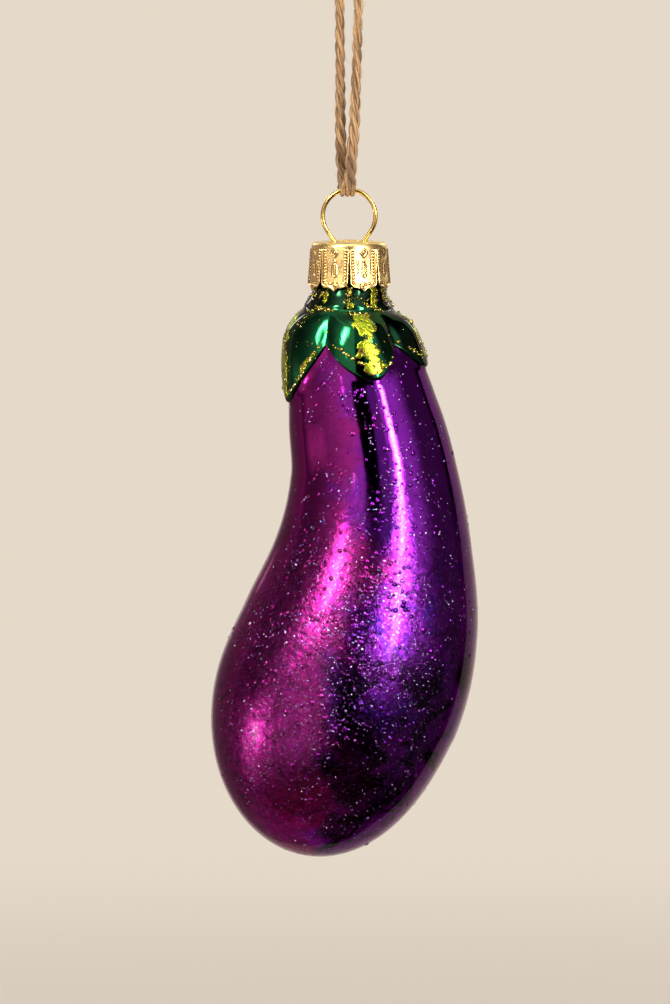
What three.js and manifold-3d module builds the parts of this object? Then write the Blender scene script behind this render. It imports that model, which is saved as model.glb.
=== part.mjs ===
// An eggplant tree ornament: blown glass with a moulded calyx, a pressed crown cap, a sprung wire hanger
// and a loop of jute twine. Millimetres, +Z up, and the front of the ornament faces -Y.
// The origin is the inside top of the twine loop, where a twig carries it.
import * as THREE from "three";
import { mergeVertices } from "three/addons/utils/BufferGeometryUtils.js";
import Module from "manifold-3d";

const wasm = await Module();
wasm.setup();

// Room left between pieces that rest on each other
const SEAT_GAP = 0.3;

// Twine
const TWINE_DIAMETER = 1.7;
const LOOP_DROP = 44.9; // from the twig to the middle of the ring wire that hangs in the loop
const BIGHT_WIDTH = 2.2; // the twine is squeezed flat where it passes under the wire
const BIGHT_THICKNESS = 0.8;
const BIGHT_SHIFT = -0.3;
const KNOT_WIDTH = 5.0;
const KNOT_DEPTH = 4.25; // from front to back
const KNOT_HEIGHT = 4.2;
const TAIL_SPREAD = 1.0; // from the knot's middle to each tail where it starts
const TAIL_LENGTH = 7.0;
const TAIL_LEAN = 24; // degrees from upright
const TWINE_SIDES = 8;
const TWINE_STEPS = 18;

// Wire hanger
const WIRE_DIAMETER = 0.75;
const RING_RADIUS = 4.48; // to the middle of the wire
const RING_MIDDLE_HEIGHT = 4.35; // above the cap's top
const RING_OPENS_AT = 34.5; // degrees below the ring's middle, where the legs run straight on
const LEG_DEPTH = 9.5; // below the cap's top
const LEG_KINK_DEPTH = 0.6;
const LEG_NECK_GAP = 0.425; // from the end of each leg to the neck's bore
const WIRE_SIDES = 8;
const WIRE_STEPS = 64;

// Crown cap
const CAP_NECK_CLEARANCE = 0.7;
const CAP_FLARE = 0.65; // how much wider the rim is than the top
const CAP_HEIGHT = 8.25;
const CAP_SHEET = 0.3;
const CAP_EDGE_ROUNDING = 0.75;
const CAP_PETALS = 8;
const CAP_SEGMENTS = 48;
const SLIT_START = 1.3; // below the cap's top
const SLIT_WIDTH = 0.3;
const PETAL_POINT_LENGTH = 1.65; // from a petal's shoulders to its tip
const PETAL_POINT_WIDTH = 3.0;
const PETAL_SHOULDER_ROUNDING = 0.85;
const LEG_HOLE_CLEARANCE = 0.305;
const BOSS_RADIUS = 1.6;
const BOSS_HEIGHT = 0.4;

// Glass. Depths are those of the body's middle line under the cap's top, and shifts are sideways.
const GLASS_WALL = 0.9;
const NECK_RADIUS = 5.4;
const NECK_LENGTH = 7.6;
const SHOULDER_RADIUS = 10.2;
const SHOULDER_DEPTH = 16.6;
const SHOULDER_SHIFT = 0.1;
const THROAT_RADIUS = 12.8;
const THROAT_DEPTH = 28.8;
const THROAT_SHIFT = 2.3;
const WAIST_RADIUS = 14.2;
const WAIST_DEPTH = 39.0;
const WAIST_SHIFT = 4.1;
const FLANK_RADIUS = 16.6;
const FLANK_DEPTH = 50.7;
const FLANK_SHIFT = 4.3;
const HIP_RADIUS = 19.8;
const HIP_DEPTH = 63.6;
const HIP_SHIFT = 2.5;
const BELLY_RADIUS = 21.1;
const BELLY_DEPTH = 76.5;
const BELLY_SHIFT = -1.5;
const STEER_RADIUS = 19.8; // this ring isn't built: it only steers the curve through the belly
const STEER_DEPTH = 92.8;
const STEER_SHIFT = -9.6;
const TIP_DEPTH = 104.8;
const TIP_SHIFT = -4.9;
const TAIL_PULL = 9.2; // how far the middle line keeps its lean below the belly
const GLASS_COLUMNS = 44;
const TAIL_ROWS = 6;

// Calyx: a moulded relief of five sepals
const CALYX_TUCK = 1.65; // how far the neck band reaches up under the cap's petals
const CALYX_CAP_GAP = 0.45;
const CREASE_DEPTH = 11.6; // where the neck band meets the sepals
const SEPAL_RELIEF = 1.3;
const SEPAL_EDGE_RELIEF = 0.8;
const NOTCH_DEPTH = 17.8;
const FRONT_LEFT_NOTCH_DEPTH = 17.0;
const FRONT_RIGHT_NOTCH_DEPTH = 18.4;
const FRONT_TIP_DEPTH = 23.8;
const RIGHT_TIP_DEPTH = 23.7;
const BACK_RIGHT_TIP_DEPTH = 23.8;
const BACK_LEFT_TIP_DEPTH = 24.6;
const LEFT_TIP_DEPTH = 25.0;
const SEPAL_BLUNTNESS = 1.5; // 1 gives straight edges, and more gives rounder ones
const FRONT_BLUNTNESS = 1.8;
const RIGHT_BLUNTNESS = 1.65;
const LEFT_BLUNTNESS = 1.2;
const SEPAL_COLUMNS = 12;
const CALYX_BAND_ROWS = 2;
const CALYX_SEPAL_ROWS = 7;

// Each sepal from notch to notch, in degrees round the neck: 0 faces front and 90 faces +X.
const FULL_TURN = 360;
const SEPALS = [
  {
    start: -22,
    tip: 17,
    tipDepth: FRONT_TIP_DEPTH,
    notchDepth: FRONT_LEFT_NOTCH_DEPTH,
    bluntness: FRONT_BLUNTNESS,
  },
  {
    start: 42,
    tip: 78,
    tipDepth: RIGHT_TIP_DEPTH,
    notchDepth: FRONT_RIGHT_NOTCH_DEPTH,
    bluntness: RIGHT_BLUNTNESS,
  },
  {
    start: 115,
    tip: 150,
    tipDepth: BACK_RIGHT_TIP_DEPTH,
    notchDepth: NOTCH_DEPTH,
    bluntness: SEPAL_BLUNTNESS,
  },
  {
    start: 184,
    tip: 218,
    tipDepth: BACK_LEFT_TIP_DEPTH,
    notchDepth: NOTCH_DEPTH,
    bluntness: SEPAL_BLUNTNESS,
  },
  {
    start: 250,
    tip: 285,
    tipDepth: LEFT_TIP_DEPTH,
    notchDepth: NOTCH_DEPTH,
    bluntness: LEFT_BLUNTNESS,
  },
];

// Places worked out from the sizes above
const CAP_TOP_Z = -LOOP_DROP - RING_RADIUS - RING_MIDDLE_HEIGHT;
const CAP_TOP_RADIUS = NECK_RADIUS + CAP_NECK_CLEARANCE + CAP_SHEET;
const CAP_RIM_RADIUS = CAP_TOP_RADIUS + CAP_FLARE;
const LIP_DEPTH = CAP_SHEET + SEAT_GAP;
const LEG_SPREAD = NECK_RADIUS - GLASS_WALL - LEG_NECK_GAP - WIRE_DIAMETER / 2;
const CALYX_TOP_DEPTH = CAP_HEIGHT - CALYX_TUCK;
const PETAL_SLOPE = CAP_FLARE / (CAP_HEIGHT - CAP_EDGE_ROUNDING);
const PETAL_INSIDE_RADIUS = CAP_RIM_RADIUS - CAP_SHEET - CALYX_TUCK * PETAL_SLOPE;
const BAND_RELIEF = PETAL_INSIDE_RADIUS - CALYX_CAP_GAP - NECK_RADIUS;

const MATERIALS = {
  purpleGlass: new THREE.MeshStandardMaterial({ color: 0x6a0f78, roughness: 0.12, metalness: 0.85 }),
  greenGlass: new THREE.MeshStandardMaterial({ color: 0x0b5a35, roughness: 0.12, metalness: 0.8 }),
  goldCap: new THREE.MeshStandardMaterial({ color: 0xd9a030, roughness: 0.22, metalness: 1 }),
  goldWire: new THREE.MeshStandardMaterial({ color: 0xd6a53a, roughness: 0.16, metalness: 1 }),
  jute: new THREE.MeshStandardMaterial({ color: 0xa9825a, roughness: 0.95, metalness: 0 }),
};

const radians = THREE.MathUtils.degToRad;

// Joins vertices that share a place and drops the faces that this leaves without area.
function closeSeams(geometry) {
  const bare = geometry.clone();
  bare.deleteAttribute("normal");
  bare.deleteAttribute("uv");
  const merged = mergeVertices(bare, 1e-4);
  const corners = merged.index.array;
  const kept = [];
  for (let i = 0; i < corners.length; i += 3) {
    const [a, b, c] = corners.slice(i, i + 3);
    if (a !== b && b !== c && c !== a) kept.push(a, b, c);
  }
  merged.setIndex(kept);
  merged.computeVertexNormals();
  return merged;
}

function toSolid(geometry) {
  const closed = closeSeams(geometry);
  return new wasm.Manifold(
    new wasm.Mesh({
      numProp: 3,
      vertProperties: closed.attributes.position.array,
      triVerts: new Uint32Array(closed.index.array),
    }),
  );
}

function toGeometry(solid) {
  const mesh = solid.getMesh();
  const geometry = new THREE.BufferGeometry();
  geometry.setAttribute("position", new THREE.BufferAttribute(mesh.vertProperties, 3));
  geometry.setIndex(new THREE.BufferAttribute(mesh.triVerts, 1));
  geometry.computeVertexNormals();
  return geometry;
}

// Skins a loop of rings, each with the same number of points, as one closed solid.
// The last ring meets the first, as in a bent tube wall.
function skinRings(rings) {
  const columns = rings[0].length;
  const positions = rings.flat().flatMap((point) => point.toArray());
  const faces = [];
  for (let row = 0; row < rings.length; row++) {
    const here = row * columns;
    const next = ((row + 1) % rings.length) * columns;
    for (let column = 0; column < columns; column++) {
      const beside = (column + 1) % columns;
      faces.push(here + column, next + column, next + beside);
      faces.push(here + column, next + beside, here + beside);
    }
  }
  const geometry = new THREE.BufferGeometry();
  geometry.setAttribute("position", new THREE.Float32BufferAttribute(positions, 3));
  geometry.setIndex(faces);
  return geometry;
}

function roundSection(diameter, sides) {
  const corners = Array.from({ length: sides }, (_, side) => {
    const angle = (2 * Math.PI * side) / sides;
    return new THREE.Vector2(Math.cos(angle), Math.sin(angle)).multiplyScalar(diameter / 2);
  });
  return new THREE.Shape(corners);
}

function tubeAlong(path, section, steps) {
  return new THREE.ExtrudeGeometry(section, { extrudePath: path, steps, bevelEnabled: false });
}

function named(name, geometry, material) {
  const mesh = new THREE.Mesh(closeSeams(geometry), material);
  mesh.name = name;
  return mesh;
}

// The rings of the glass body's form, with the rows of faces down to each from the ring above.
const formRings = [
  { depth: LIP_DEPTH, shift: 0, radius: NECK_RADIUS },
  { depth: LIP_DEPTH + NECK_LENGTH, shift: 0, radius: NECK_RADIUS, rows: 2 },
  { depth: SHOULDER_DEPTH, shift: SHOULDER_SHIFT, radius: SHOULDER_RADIUS, rows: 5 },
  { depth: THROAT_DEPTH, shift: THROAT_SHIFT, radius: THROAT_RADIUS, rows: 3 },
  { depth: WAIST_DEPTH, shift: WAIST_SHIFT, radius: WAIST_RADIUS, rows: 2 },
  { depth: FLANK_DEPTH, shift: FLANK_SHIFT, radius: FLANK_RADIUS, rows: 2 },
  { depth: HIP_DEPTH, shift: HIP_SHIFT, radius: HIP_RADIUS, rows: 2 },
  { depth: BELLY_DEPTH, shift: BELLY_SHIFT, radius: BELLY_RADIUS, rows: 2 },
  { depth: STEER_DEPTH, shift: STEER_SHIFT, radius: STEER_RADIUS },
];

// One curve runs through the rings, with each ring's radius carried in y, and a rounded tail closes the body
// below the belly. A station is a ring's number, and the tail's tip is one station past the belly.
const bellyStation = formRings.length - 2;
const tipStation = bellyStation + 1;
const formCurve = new THREE.CatmullRomCurve3(
  formRings.map((ring) => new THREE.Vector3(ring.shift, ring.radius, -ring.depth)),
  false,
  "catmullrom",
);
const tailCurve = makeTail();

function makeTail() {
  const start = new THREE.Vector3(BELLY_SHIFT, 0, -BELLY_DEPTH);
  const lean = new THREE.Vector3(STEER_SHIFT - HIP_SHIFT, 0, HIP_DEPTH - STEER_DEPTH).normalize();
  const bend = start.clone().addScaledVector(lean, TAIL_PULL);
  return new THREE.QuadraticBezierCurve3(start, bend, new THREE.Vector3(TIP_SHIFT, 0, -TIP_DEPTH));
}

// The middle and radius of the body at a station.
function ringAt(station) {
  if (station > bellyStation) {
    const turn = (Math.min(station - bellyStation, 1) * Math.PI) / 2;
    return { middle: tailCurve.getPointAt(Math.sin(turn)), radius: BELLY_RADIUS * Math.cos(turn) };
  }
  const point = formCurve.getPoint(station / (formRings.length - 1));
  return { middle: new THREE.Vector3(point.x, 0, point.z), radius: point.y };
}

// The station whose middle lies at a depth under the cap's top.
function stationAtDepth(depth) {
  let above = 0;
  let below = tipStation;
  for (let halving = 0; halving < 40; halving++) {
    const half = (above + below) / 2;
    if (-ringAt(half).middle.z < depth) above = half;
    else below = half;
  }
  return (above + below) / 2;
}

// The body's lean at a station: a unit vector down its middle line.
function leanAt(station) {
  const step = 1e-3;
  const from = ringAt(Math.max(station - step, 0)).middle;
  const to = ringAt(Math.min(station + step, tipStation)).middle;
  return to.sub(from).normalize();
}

// A point of the glass's outer face at a station and an angle round the body, in degrees.
function facePoint(station, angle) {
  const { middle, radius } = ringAt(station);
  const lean = leanAt(station);
  const right = new THREE.Vector3(-lean.z, 0, lean.x);
  const front = new THREE.Vector3(0, -1, 0);
  return middle
    .addScaledVector(right, radius * Math.sin(radians(angle)))
    .addScaledVector(front, radius * Math.cos(radians(angle)));
}

// The outward direction of the glass's face there.
function faceNormal(station, angle) {
  if (station >= tipStation) return leanAt(tipStation);
  const along = 1e-3;
  const round = 0.5;
  const low = Math.max(station - along, 0);
  const high = Math.min(station + along, tipStation - along);
  const down = facePoint(high, angle).sub(facePoint(low, angle));
  const across = facePoint(station, angle + round).sub(facePoint(station, angle - round));
  return down.cross(across).normalize();
}

// A point that stands proud of the glass's outer face, or inside it when the distance is negative.
function proudPoint(station, angle, distance) {
  return facePoint(station, angle).addScaledVector(faceNormal(station, angle), distance);
}

function makeGlassBody() {
  const angles = Array.from({ length: GLASS_COLUMNS }, (_, column) => (FULL_TURN * column) / GLASS_COLUMNS);
  const stations = [0];
  for (let station = 1; station <= tipStation; station++) {
    const rows = station > bellyStation ? TAIL_ROWS : formRings[station].rows;
    for (let row = 1; row <= rows; row++) stations.push(station - 1 + row / rows);
  }
  const ring = (station, distance) => angles.map((angle) => proudPoint(station, angle, distance));
  const outside = stations.map((station) => ring(station, 0));
  const inside = stations.map((station) => ring(station, -GLASS_WALL)).reverse();
  return named("glass_body", skinRings([...outside, ...inside]), MATERIALS.purpleGlass);
}

// How far along a sepal's half a direction lies: 0 at the tip and 1 at the notch.
function sepalReach(sepal, end, angle) {
  const side = angle < sepal.tip ? sepal.start : end;
  return Math.abs((angle - sepal.tip) / (side - sepal.tip));
}

// The depth of the calyx's lower edge: blunt at the tip, with a sharp notch between sepals.
function edgeDepth(sepal, nextNotchDepth, angle, reach) {
  const notch = angle < sepal.tip ? sepal.notchDepth : nextNotchDepth;
  return notch + (sepal.tipDepth - notch) * (1 - reach ** sepal.bluntness);
}

// The directions round the neck that the calyx's columns follow, each with its sepal's edge there.
function calyxColumns() {
  return SEPALS.flatMap((sepal, number) => {
    const next = SEPALS[(number + 1) % SEPALS.length];
    const end = next.start > sepal.start ? next.start : next.start + FULL_TURN;
    return Array.from({ length: SEPAL_COLUMNS }, (_, column) => {
      const angle = sepal.start + ((end - sepal.start) * column) / SEPAL_COLUMNS;
      const reach = sepalReach(sepal, end, angle);
      return { angle, reach, depth: edgeDepth(sepal, next.notchDepth, angle, reach) };
    });
  });
}

// The calyx's outer relief: a thin neck band, a crease, and sepals that swell between their edges.
function calyxRelief(depth, edge, reach) {
  if (depth <= CREASE_DEPTH) return BAND_RELIEF;
  const fall = (depth - CREASE_DEPTH) / (edge - CREASE_DEPTH);
  const swell = (1 - fall ** 4) * (1 - reach ** 3);
  const full = SEPAL_EDGE_RELIEF + (SEPAL_RELIEF - SEPAL_EDGE_RELIEF) * swell;
  return THREE.MathUtils.lerp(BAND_RELIEF, full, Math.min(1, fall * 4));
}

function makeCalyx() {
  const columns = calyxColumns();
  const ring = (row, distanceAt) =>
    columns.map(({ angle, reach, depth: edge }) => {
      const depth =
        row <= CALYX_BAND_ROWS
          ? THREE.MathUtils.lerp(CALYX_TOP_DEPTH, CREASE_DEPTH, row / CALYX_BAND_ROWS)
          : THREE.MathUtils.lerp(CREASE_DEPTH, edge, (row - CALYX_BAND_ROWS) / CALYX_SEPAL_ROWS);
      return proudPoint(stationAtDepth(depth), angle, distanceAt(depth, edge, reach));
    });
  const rows = Array.from({ length: CALYX_BAND_ROWS + CALYX_SEPAL_ROWS + 1 }, (_, row) => row);
  const outside = rows.map((row) => ring(row, calyxRelief));
  const inside = rows.map((row) => ring(row, () => SEAT_GAP)).reverse();
  return named("calyx", skinRings([...outside, ...inside]), MATERIALS.greenGlass);
}

// The cap before its petals are cut: a flat top with a small boss, a rounded edge and a flared skirt.
function capBlank() {
  const roundingMiddle = CAP_TOP_RADIUS - CAP_EDGE_ROUNDING;
  const outline = new THREE.Path();
  outline.moveTo(0, BOSS_HEIGHT);
  outline.quadraticCurveTo(BOSS_RADIUS, BOSS_HEIGHT, BOSS_RADIUS, 0);
  outline.lineTo(roundingMiddle, 0);
  outline.absarc(roundingMiddle, -CAP_EDGE_ROUNDING, CAP_EDGE_ROUNDING, Math.PI / 2, 0, true);
  outline.lineTo(CAP_RIM_RADIUS, -CAP_HEIGHT);
  outline.lineTo(CAP_RIM_RADIUS - CAP_SHEET, -CAP_HEIGHT);
  outline.absarc(
    roundingMiddle,
    -CAP_EDGE_ROUNDING,
    CAP_EDGE_ROUNDING - CAP_SHEET,
    0,
    Math.PI / 2,
    false,
  );
  outline.lineTo(0, -CAP_SHEET);
  const profile = outline.getPoints(4).reverse();
  return new THREE.LatheGeometry(profile, CAP_SEGMENTS).rotateX(Math.PI / 2);
}

// The gap between two petals: a narrow slit that opens between their ogee points.
function petalGap() {
  const half = SLIT_WIDTH / 2;
  const petalMiddle = (Math.PI * CAP_RIM_RADIUS) / CAP_PETALS;
  const pointEdge = petalMiddle - PETAL_POINT_WIDTH / 2;
  const shoulder = PETAL_POINT_LENGTH - CAP_HEIGHT;
  const pointTop = shoulder - PETAL_SHOULDER_ROUNDING;
  const rounding = new THREE.QuadraticBezierCurve(
    new THREE.Vector2(half, shoulder),
    new THREE.Vector2(half, pointTop),
    new THREE.Vector2(pointEdge, pointTop),
  );
  const point = new THREE.QuadraticBezierCurve(
    new THREE.Vector2(pointEdge, pointTop),
    new THREE.Vector2(petalMiddle - PETAL_POINT_WIDTH / 6, pointTop),
    new THREE.Vector2(petalMiddle, -CAP_HEIGHT),
  );
  const rightSide = [
    new THREE.Vector2(half, -SLIT_START),
    ...rounding.getPoints(4),
    ...point.getPoints(4).slice(1),
    new THREE.Vector2(petalMiddle, -CAP_HEIGHT - CAP_SHEET),
  ];
  const leftSide = rightSide.map((corner) => new THREE.Vector2(-corner.x, corner.y)).reverse();
  return new THREE.Shape([...rightSide, ...leftSide]);
}

function makeCrownCap() {
  let cap = toSolid(capBlank());
  const innermost = CAP_TOP_RADIUS / 2;
  const gap = new THREE.ExtrudeGeometry(petalGap(), { depth: CAP_TOP_RADIUS, bevelEnabled: false });
  gap.rotateX(Math.PI / 2).translate(0, -innermost, 0);
  for (let petal = 0; petal < CAP_PETALS; petal++) {
    const turn = (2 * Math.PI * petal) / CAP_PETALS;
    cap = cap.subtract(toSolid(gap.clone().rotateZ(turn)));
  }
  const holeRadius = WIRE_DIAMETER / 2 + LEG_HOLE_CLEARANCE;
  for (const side of [-1, 1]) {
    const hole = new THREE.CylinderGeometry(holeRadius, holeRadius, 4 * CAP_SHEET, 24);
    hole.rotateX(Math.PI / 2).translate(side * legAtCap().x, 0, -CAP_SHEET / 2);
    cap = cap.subtract(toSolid(hole));
  }
  return named("crown_cap", toGeometry(cap), MATERIALS.goldCap);
}

// Where the right leg of the hanger passes through the middle of the cap's sheet.
function legAtCap() {
  const opening = radians(-RING_OPENS_AT);
  const ringEnd = new THREE.Vector3(Math.cos(opening), 0, Math.sin(opening)).multiplyScalar(RING_RADIUS);
  ringEnd.z += RING_MIDDLE_HEIGHT;
  const run = (ringEnd.z + CAP_SHEET / 2) / Math.cos(opening);
  return new THREE.Vector3(ringEnd.x + run * Math.sin(opening), 0, -CAP_SHEET / 2);
}

function makeHangerWire() {
  const hole = legAtCap();
  const slope = Math.tan(radians(RING_OPENS_AT));
  const kink = new THREE.Vector3(hole.x - (LEG_KINK_DEPTH + hole.z) * slope, 0, -LEG_KINK_DEPTH);
  const end = new THREE.Vector3(LEG_SPREAD, 0, -LEG_DEPTH);
  const rightLeg = [end, end.clone().lerp(kink, 0.35), end.clone().lerp(kink, 0.75), kink, hole];
  const leftLeg = rightLeg.map((point) => new THREE.Vector3(-point.x, 0, point.z)).reverse();
  const arcPoints = 18;
  const ring = Array.from({ length: arcPoints + 1 }, (_, index) => {
    const turn = THREE.MathUtils.lerp(-RING_OPENS_AT, 180 + RING_OPENS_AT, index / arcPoints);
    const angle = radians(turn);
    return new THREE.Vector3(
      RING_RADIUS * Math.cos(angle),
      0,
      RING_MIDDLE_HEIGHT + RING_RADIUS * Math.sin(angle),
    );
  });
  const path = new THREE.CatmullRomCurve3([...rightLeg, ...ring, ...leftLeg]);
  const wire = tubeAlong(path, roundSection(WIRE_DIAMETER, WIRE_SIDES), WIRE_STEPS);
  return named("hanger_wire", wire, MATERIALS.goldWire);
}

// The two strands of the loop, from the ring up over the twig's side to the knot. The front strand leaves the
// ring in front of its wire and the back strand behind it, and both bow out round the twig above the needles.
const FRONT_STRAND = [
  [0.1, -1.55, -44.9],
  [0.2, -1.5, -42.6],
  [0.35, -1.4, -40.2],
  [0.6, -1.3, -37.4],
  [0.85, -1.2, -34.5],
  [1.0, -1.1, -31.6],
  [1.1, -1.0, -28.7],
  [1.2, -0.9, -25.8],
  [1.3, -0.8, -22.9],
  [1.38, -0.7, -20.0],
  [1.45, -0.6, -17.1],
  [1.53, -0.5, -14.2],
  [1.7, -0.4, -11.6],
  [2.1, -0.28, -9.2],
  [2.65, -0.15, -7.0],
  [3.2, -0.05, -4.8],
  [3.46, 0, -2.8],
  [3.3, 0, -1.45],
  [2.75, 0, -0.45],
  [1.95, 0, 0.2],
];
const BACK_STRAND = [
  [-0.8, 1.55, -44.9],
  [-1.0, 1.5, -42.6],
  [-1.25, 1.4, -40.2],
  [-1.38, 1.3, -37.4],
  [-1.46, 1.2, -34.5],
  [-1.5, 1.1, -31.6],
  [-1.52, 1.0, -28.7],
  [-1.53, 0.9, -25.8],
  [-1.54, 0.8, -22.9],
  [-1.55, 0.7, -20.0],
  [-1.56, 0.6, -17.1],
  [-1.58, 0.5, -14.2],
  [-1.7, 0.4, -11.6],
  [-2.1, 0.28, -9.2],
  [-2.65, 0.15, -7.0],
  [-3.2, 0.05, -4.8],
  [-3.46, 0, -2.8],
  [-3.3, 0, -1.45],
  [-2.75, 0, -0.45],
  [-1.95, 0, 0.2],
];

function makeStrand(name, route) {
  const path = new THREE.CatmullRomCurve3(route.map((point) => new THREE.Vector3(...point)));
  const strand = tubeAlong(path, roundSection(TWINE_DIAMETER, TWINE_SIDES), TWINE_STEPS);
  return named(name, strand, MATERIALS.jute);
}

// The squeezed turn of twine under the ring's wire.
function makeBight() {
  const ringFall = RING_RADIUS - Math.sqrt(RING_RADIUS ** 2 - (BIGHT_WIDTH / 2 - BIGHT_SHIFT) ** 2);
  const radius = WIRE_DIAMETER / 2 + ringFall + SEAT_GAP + BIGHT_THICKNESS / 2;
  const turnPoints = 8;
  const points = Array.from({ length: turnPoints + 1 }, (_, index) => {
    const angle = Math.PI + (Math.PI * index) / turnPoints;
    return new THREE.Vector3(0, radius * Math.cos(angle), -LOOP_DROP - SEAT_GAP + radius * Math.sin(angle));
  });
  const halfWidth = BIGHT_WIDTH / 2;
  const halfThickness = BIGHT_THICKNESS / 2;
  const section = new THREE.Shape();
  section.moveTo(-halfWidth, -halfThickness);
  section.lineTo(halfWidth, -halfThickness);
  section.lineTo(halfWidth, halfThickness);
  section.lineTo(-halfWidth, halfThickness);
  const bight = tubeAlong(new THREE.CatmullRomCurve3(points), section, 12);
  return named("twine_bight", bight.translate(BIGHT_SHIFT, 0, 0), MATERIALS.jute);
}

// The overhand knot that closes the loop, on top of the twig, with its two cut tails.
function makeKnot() {
  const knotMiddle = KNOT_HEIGHT / 2;
  const body = new THREE.SphereGeometry(KNOT_WIDTH / 2, 16, 10);
  body.rotateX(Math.PI / 2).scale(1, KNOT_DEPTH / KNOT_WIDTH, KNOT_HEIGHT / KNOT_WIDTH);
  let knot = toSolid(body.translate(0, 0, knotMiddle));
  for (const side of [-1, 1]) {
    const lean = radians(TAIL_LEAN) * side;
    const away = new THREE.Vector3(Math.sin(lean), 0, Math.cos(lean));
    const start = new THREE.Vector3(side * TAIL_SPREAD, 0, knotMiddle);
    const end = start.clone().addScaledVector(away, KNOT_HEIGHT / 2 + TAIL_LENGTH);
    const path = new THREE.LineCurve3(start, end);
    knot = knot.add(toSolid(tubeAlong(path, roundSection(TWINE_DIAMETER, TWINE_SIDES), 3)));
  }
  return named("twine_knot", toGeometry(knot), MATERIALS.jute);
}

const ornament = new THREE.Group();
ornament.position.z = CAP_TOP_Z;
ornament.add(makeGlassBody());
ornament.add(makeCalyx());
ornament.add(makeCrownCap());
ornament.add(makeHangerWire());

const loop = new THREE.Group();
loop.add(makeStrand("twine_front", FRONT_STRAND));
loop.add(makeStrand("twine_back", BACK_STRAND));
loop.add(makeBight());
loop.add(makeKnot());

const part = new THREE.Group();
part.add(ornament);
part.add(loop);

export default part;
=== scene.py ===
"""An eggplant tree ornament: mirrored glass under purple and emerald lacquer, a pressed gold cap, a sprung
wire hanger and a loop of jute twine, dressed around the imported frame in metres, +Z up, front towards -Y."""

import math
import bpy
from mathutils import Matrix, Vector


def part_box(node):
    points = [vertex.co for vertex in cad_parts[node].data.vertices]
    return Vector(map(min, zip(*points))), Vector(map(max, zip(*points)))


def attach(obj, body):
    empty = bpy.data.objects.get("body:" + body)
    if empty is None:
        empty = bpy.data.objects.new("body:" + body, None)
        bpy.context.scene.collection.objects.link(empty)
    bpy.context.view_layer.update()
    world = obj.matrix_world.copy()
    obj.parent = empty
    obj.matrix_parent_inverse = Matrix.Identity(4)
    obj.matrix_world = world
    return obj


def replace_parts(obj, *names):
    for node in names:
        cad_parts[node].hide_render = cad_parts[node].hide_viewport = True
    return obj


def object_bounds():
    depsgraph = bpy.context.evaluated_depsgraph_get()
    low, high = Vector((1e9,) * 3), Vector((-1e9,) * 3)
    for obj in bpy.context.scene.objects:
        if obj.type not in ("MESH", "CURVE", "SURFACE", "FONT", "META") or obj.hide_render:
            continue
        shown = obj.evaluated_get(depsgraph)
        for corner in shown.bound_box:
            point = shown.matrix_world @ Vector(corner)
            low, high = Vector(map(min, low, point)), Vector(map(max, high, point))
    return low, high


bl_info = {
    "name": "Eggplant Glass Ornament",
    "version": (1, 0, 0),
    "blender": (4, 5, 0),
    "location": "View3D > Sidebar > Ornament",
    "description": "Blown glass eggplant with a calyx, a crown cap, a wire hanger and a twine loop",
    "category": "Object",
}

import bmesh
import bpy
import numpy as np
from mathutils import Vector, noise

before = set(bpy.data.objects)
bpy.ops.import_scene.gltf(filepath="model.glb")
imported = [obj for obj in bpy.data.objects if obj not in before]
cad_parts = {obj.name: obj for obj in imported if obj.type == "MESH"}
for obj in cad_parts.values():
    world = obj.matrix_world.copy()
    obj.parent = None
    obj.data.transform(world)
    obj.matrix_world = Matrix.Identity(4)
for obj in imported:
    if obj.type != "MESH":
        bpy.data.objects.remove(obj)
cad_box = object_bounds()

MM = 0.001

# Crown cap, with its place and its height from the frame
CAP_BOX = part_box("crown_cap")
BOSS_HEIGHT = 0.4 * MM
CAP_TOP = CAP_BOX[1].z - BOSS_HEIGHT
CAP_HEIGHT = CAP_TOP - CAP_BOX[0].z
CAP_RIM_RADIUS = 7.05 * MM
CAP_TOP_RADIUS = 6.4 * MM
CAP_EDGE_ROUNDING = 0.75 * MM
CAP_FLAT = CAP_TOP_RADIUS - CAP_EDGE_ROUNDING
CAP_BEND = CAP_EDGE_ROUNDING * math.pi / 2

# Glass body. Depths are those of its middle line under the cap's top, and shifts are sideways.
GLASS_WALL = 0.9 * MM
TIP_DEPTH = 104.8 * MM
TIP_SHIFT = -4.9 * MM
TAIL_PULL = 9.2 * MM
# Each ring's sideways shift, its radius and its depth
BODY_RINGS = MM * np.array(
    [
        (0.0, 5.4, 0.6),
        (0.0, 5.4, 8.2),
        (0.1, 10.2, 16.6),
        (2.3, 12.8, 28.8),
        (4.1, 14.2, 39.0),
        (4.3, 16.6, 50.7),
        (2.5, 19.8, 63.6),
        (-1.5, 21.1, 76.5),
        (-9.6, 19.8, 92.8),
    ]
)
BELLY_STATION = len(BODY_RINGS) - 2
TIP_STATION = BELLY_STATION + 1

# Calyx
CALYX_TOP_DEPTH = 6.6 * MM
CREASE_DEPTH = 11.6 * MM
BAND_RELIEF = 0.75 * MM
SEPAL_RELIEF = 1.55 * MM
SEPAL_EDGE_RELIEF = 0.72 * MM
NOTCH_FOLD = 0.40 * MM
CREASE_GROOVE = 0.24 * MM
FULL_TURN = 360
# Each sepal's start notch and tip in degrees round the neck, the depths of its tip and of its start notch,
# and how blunt it is
SEPALS = (
    (-22, 17, 23.8 * MM, 17.0 * MM, 1.8),
    (42, 78, 23.7 * MM, 18.4 * MM, 1.65),
    (115, 150, 23.8 * MM, 17.8 * MM, 1.5),
    (184, 218, 24.6 * MM, 17.8 * MM, 1.5),
    (250, 285, 25.0 * MM, 17.8 * MM, 1.2),
)

# Middle of the ring's wire where it hangs in the twine
RING_LEVEL = -44.9 * MM

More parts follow.
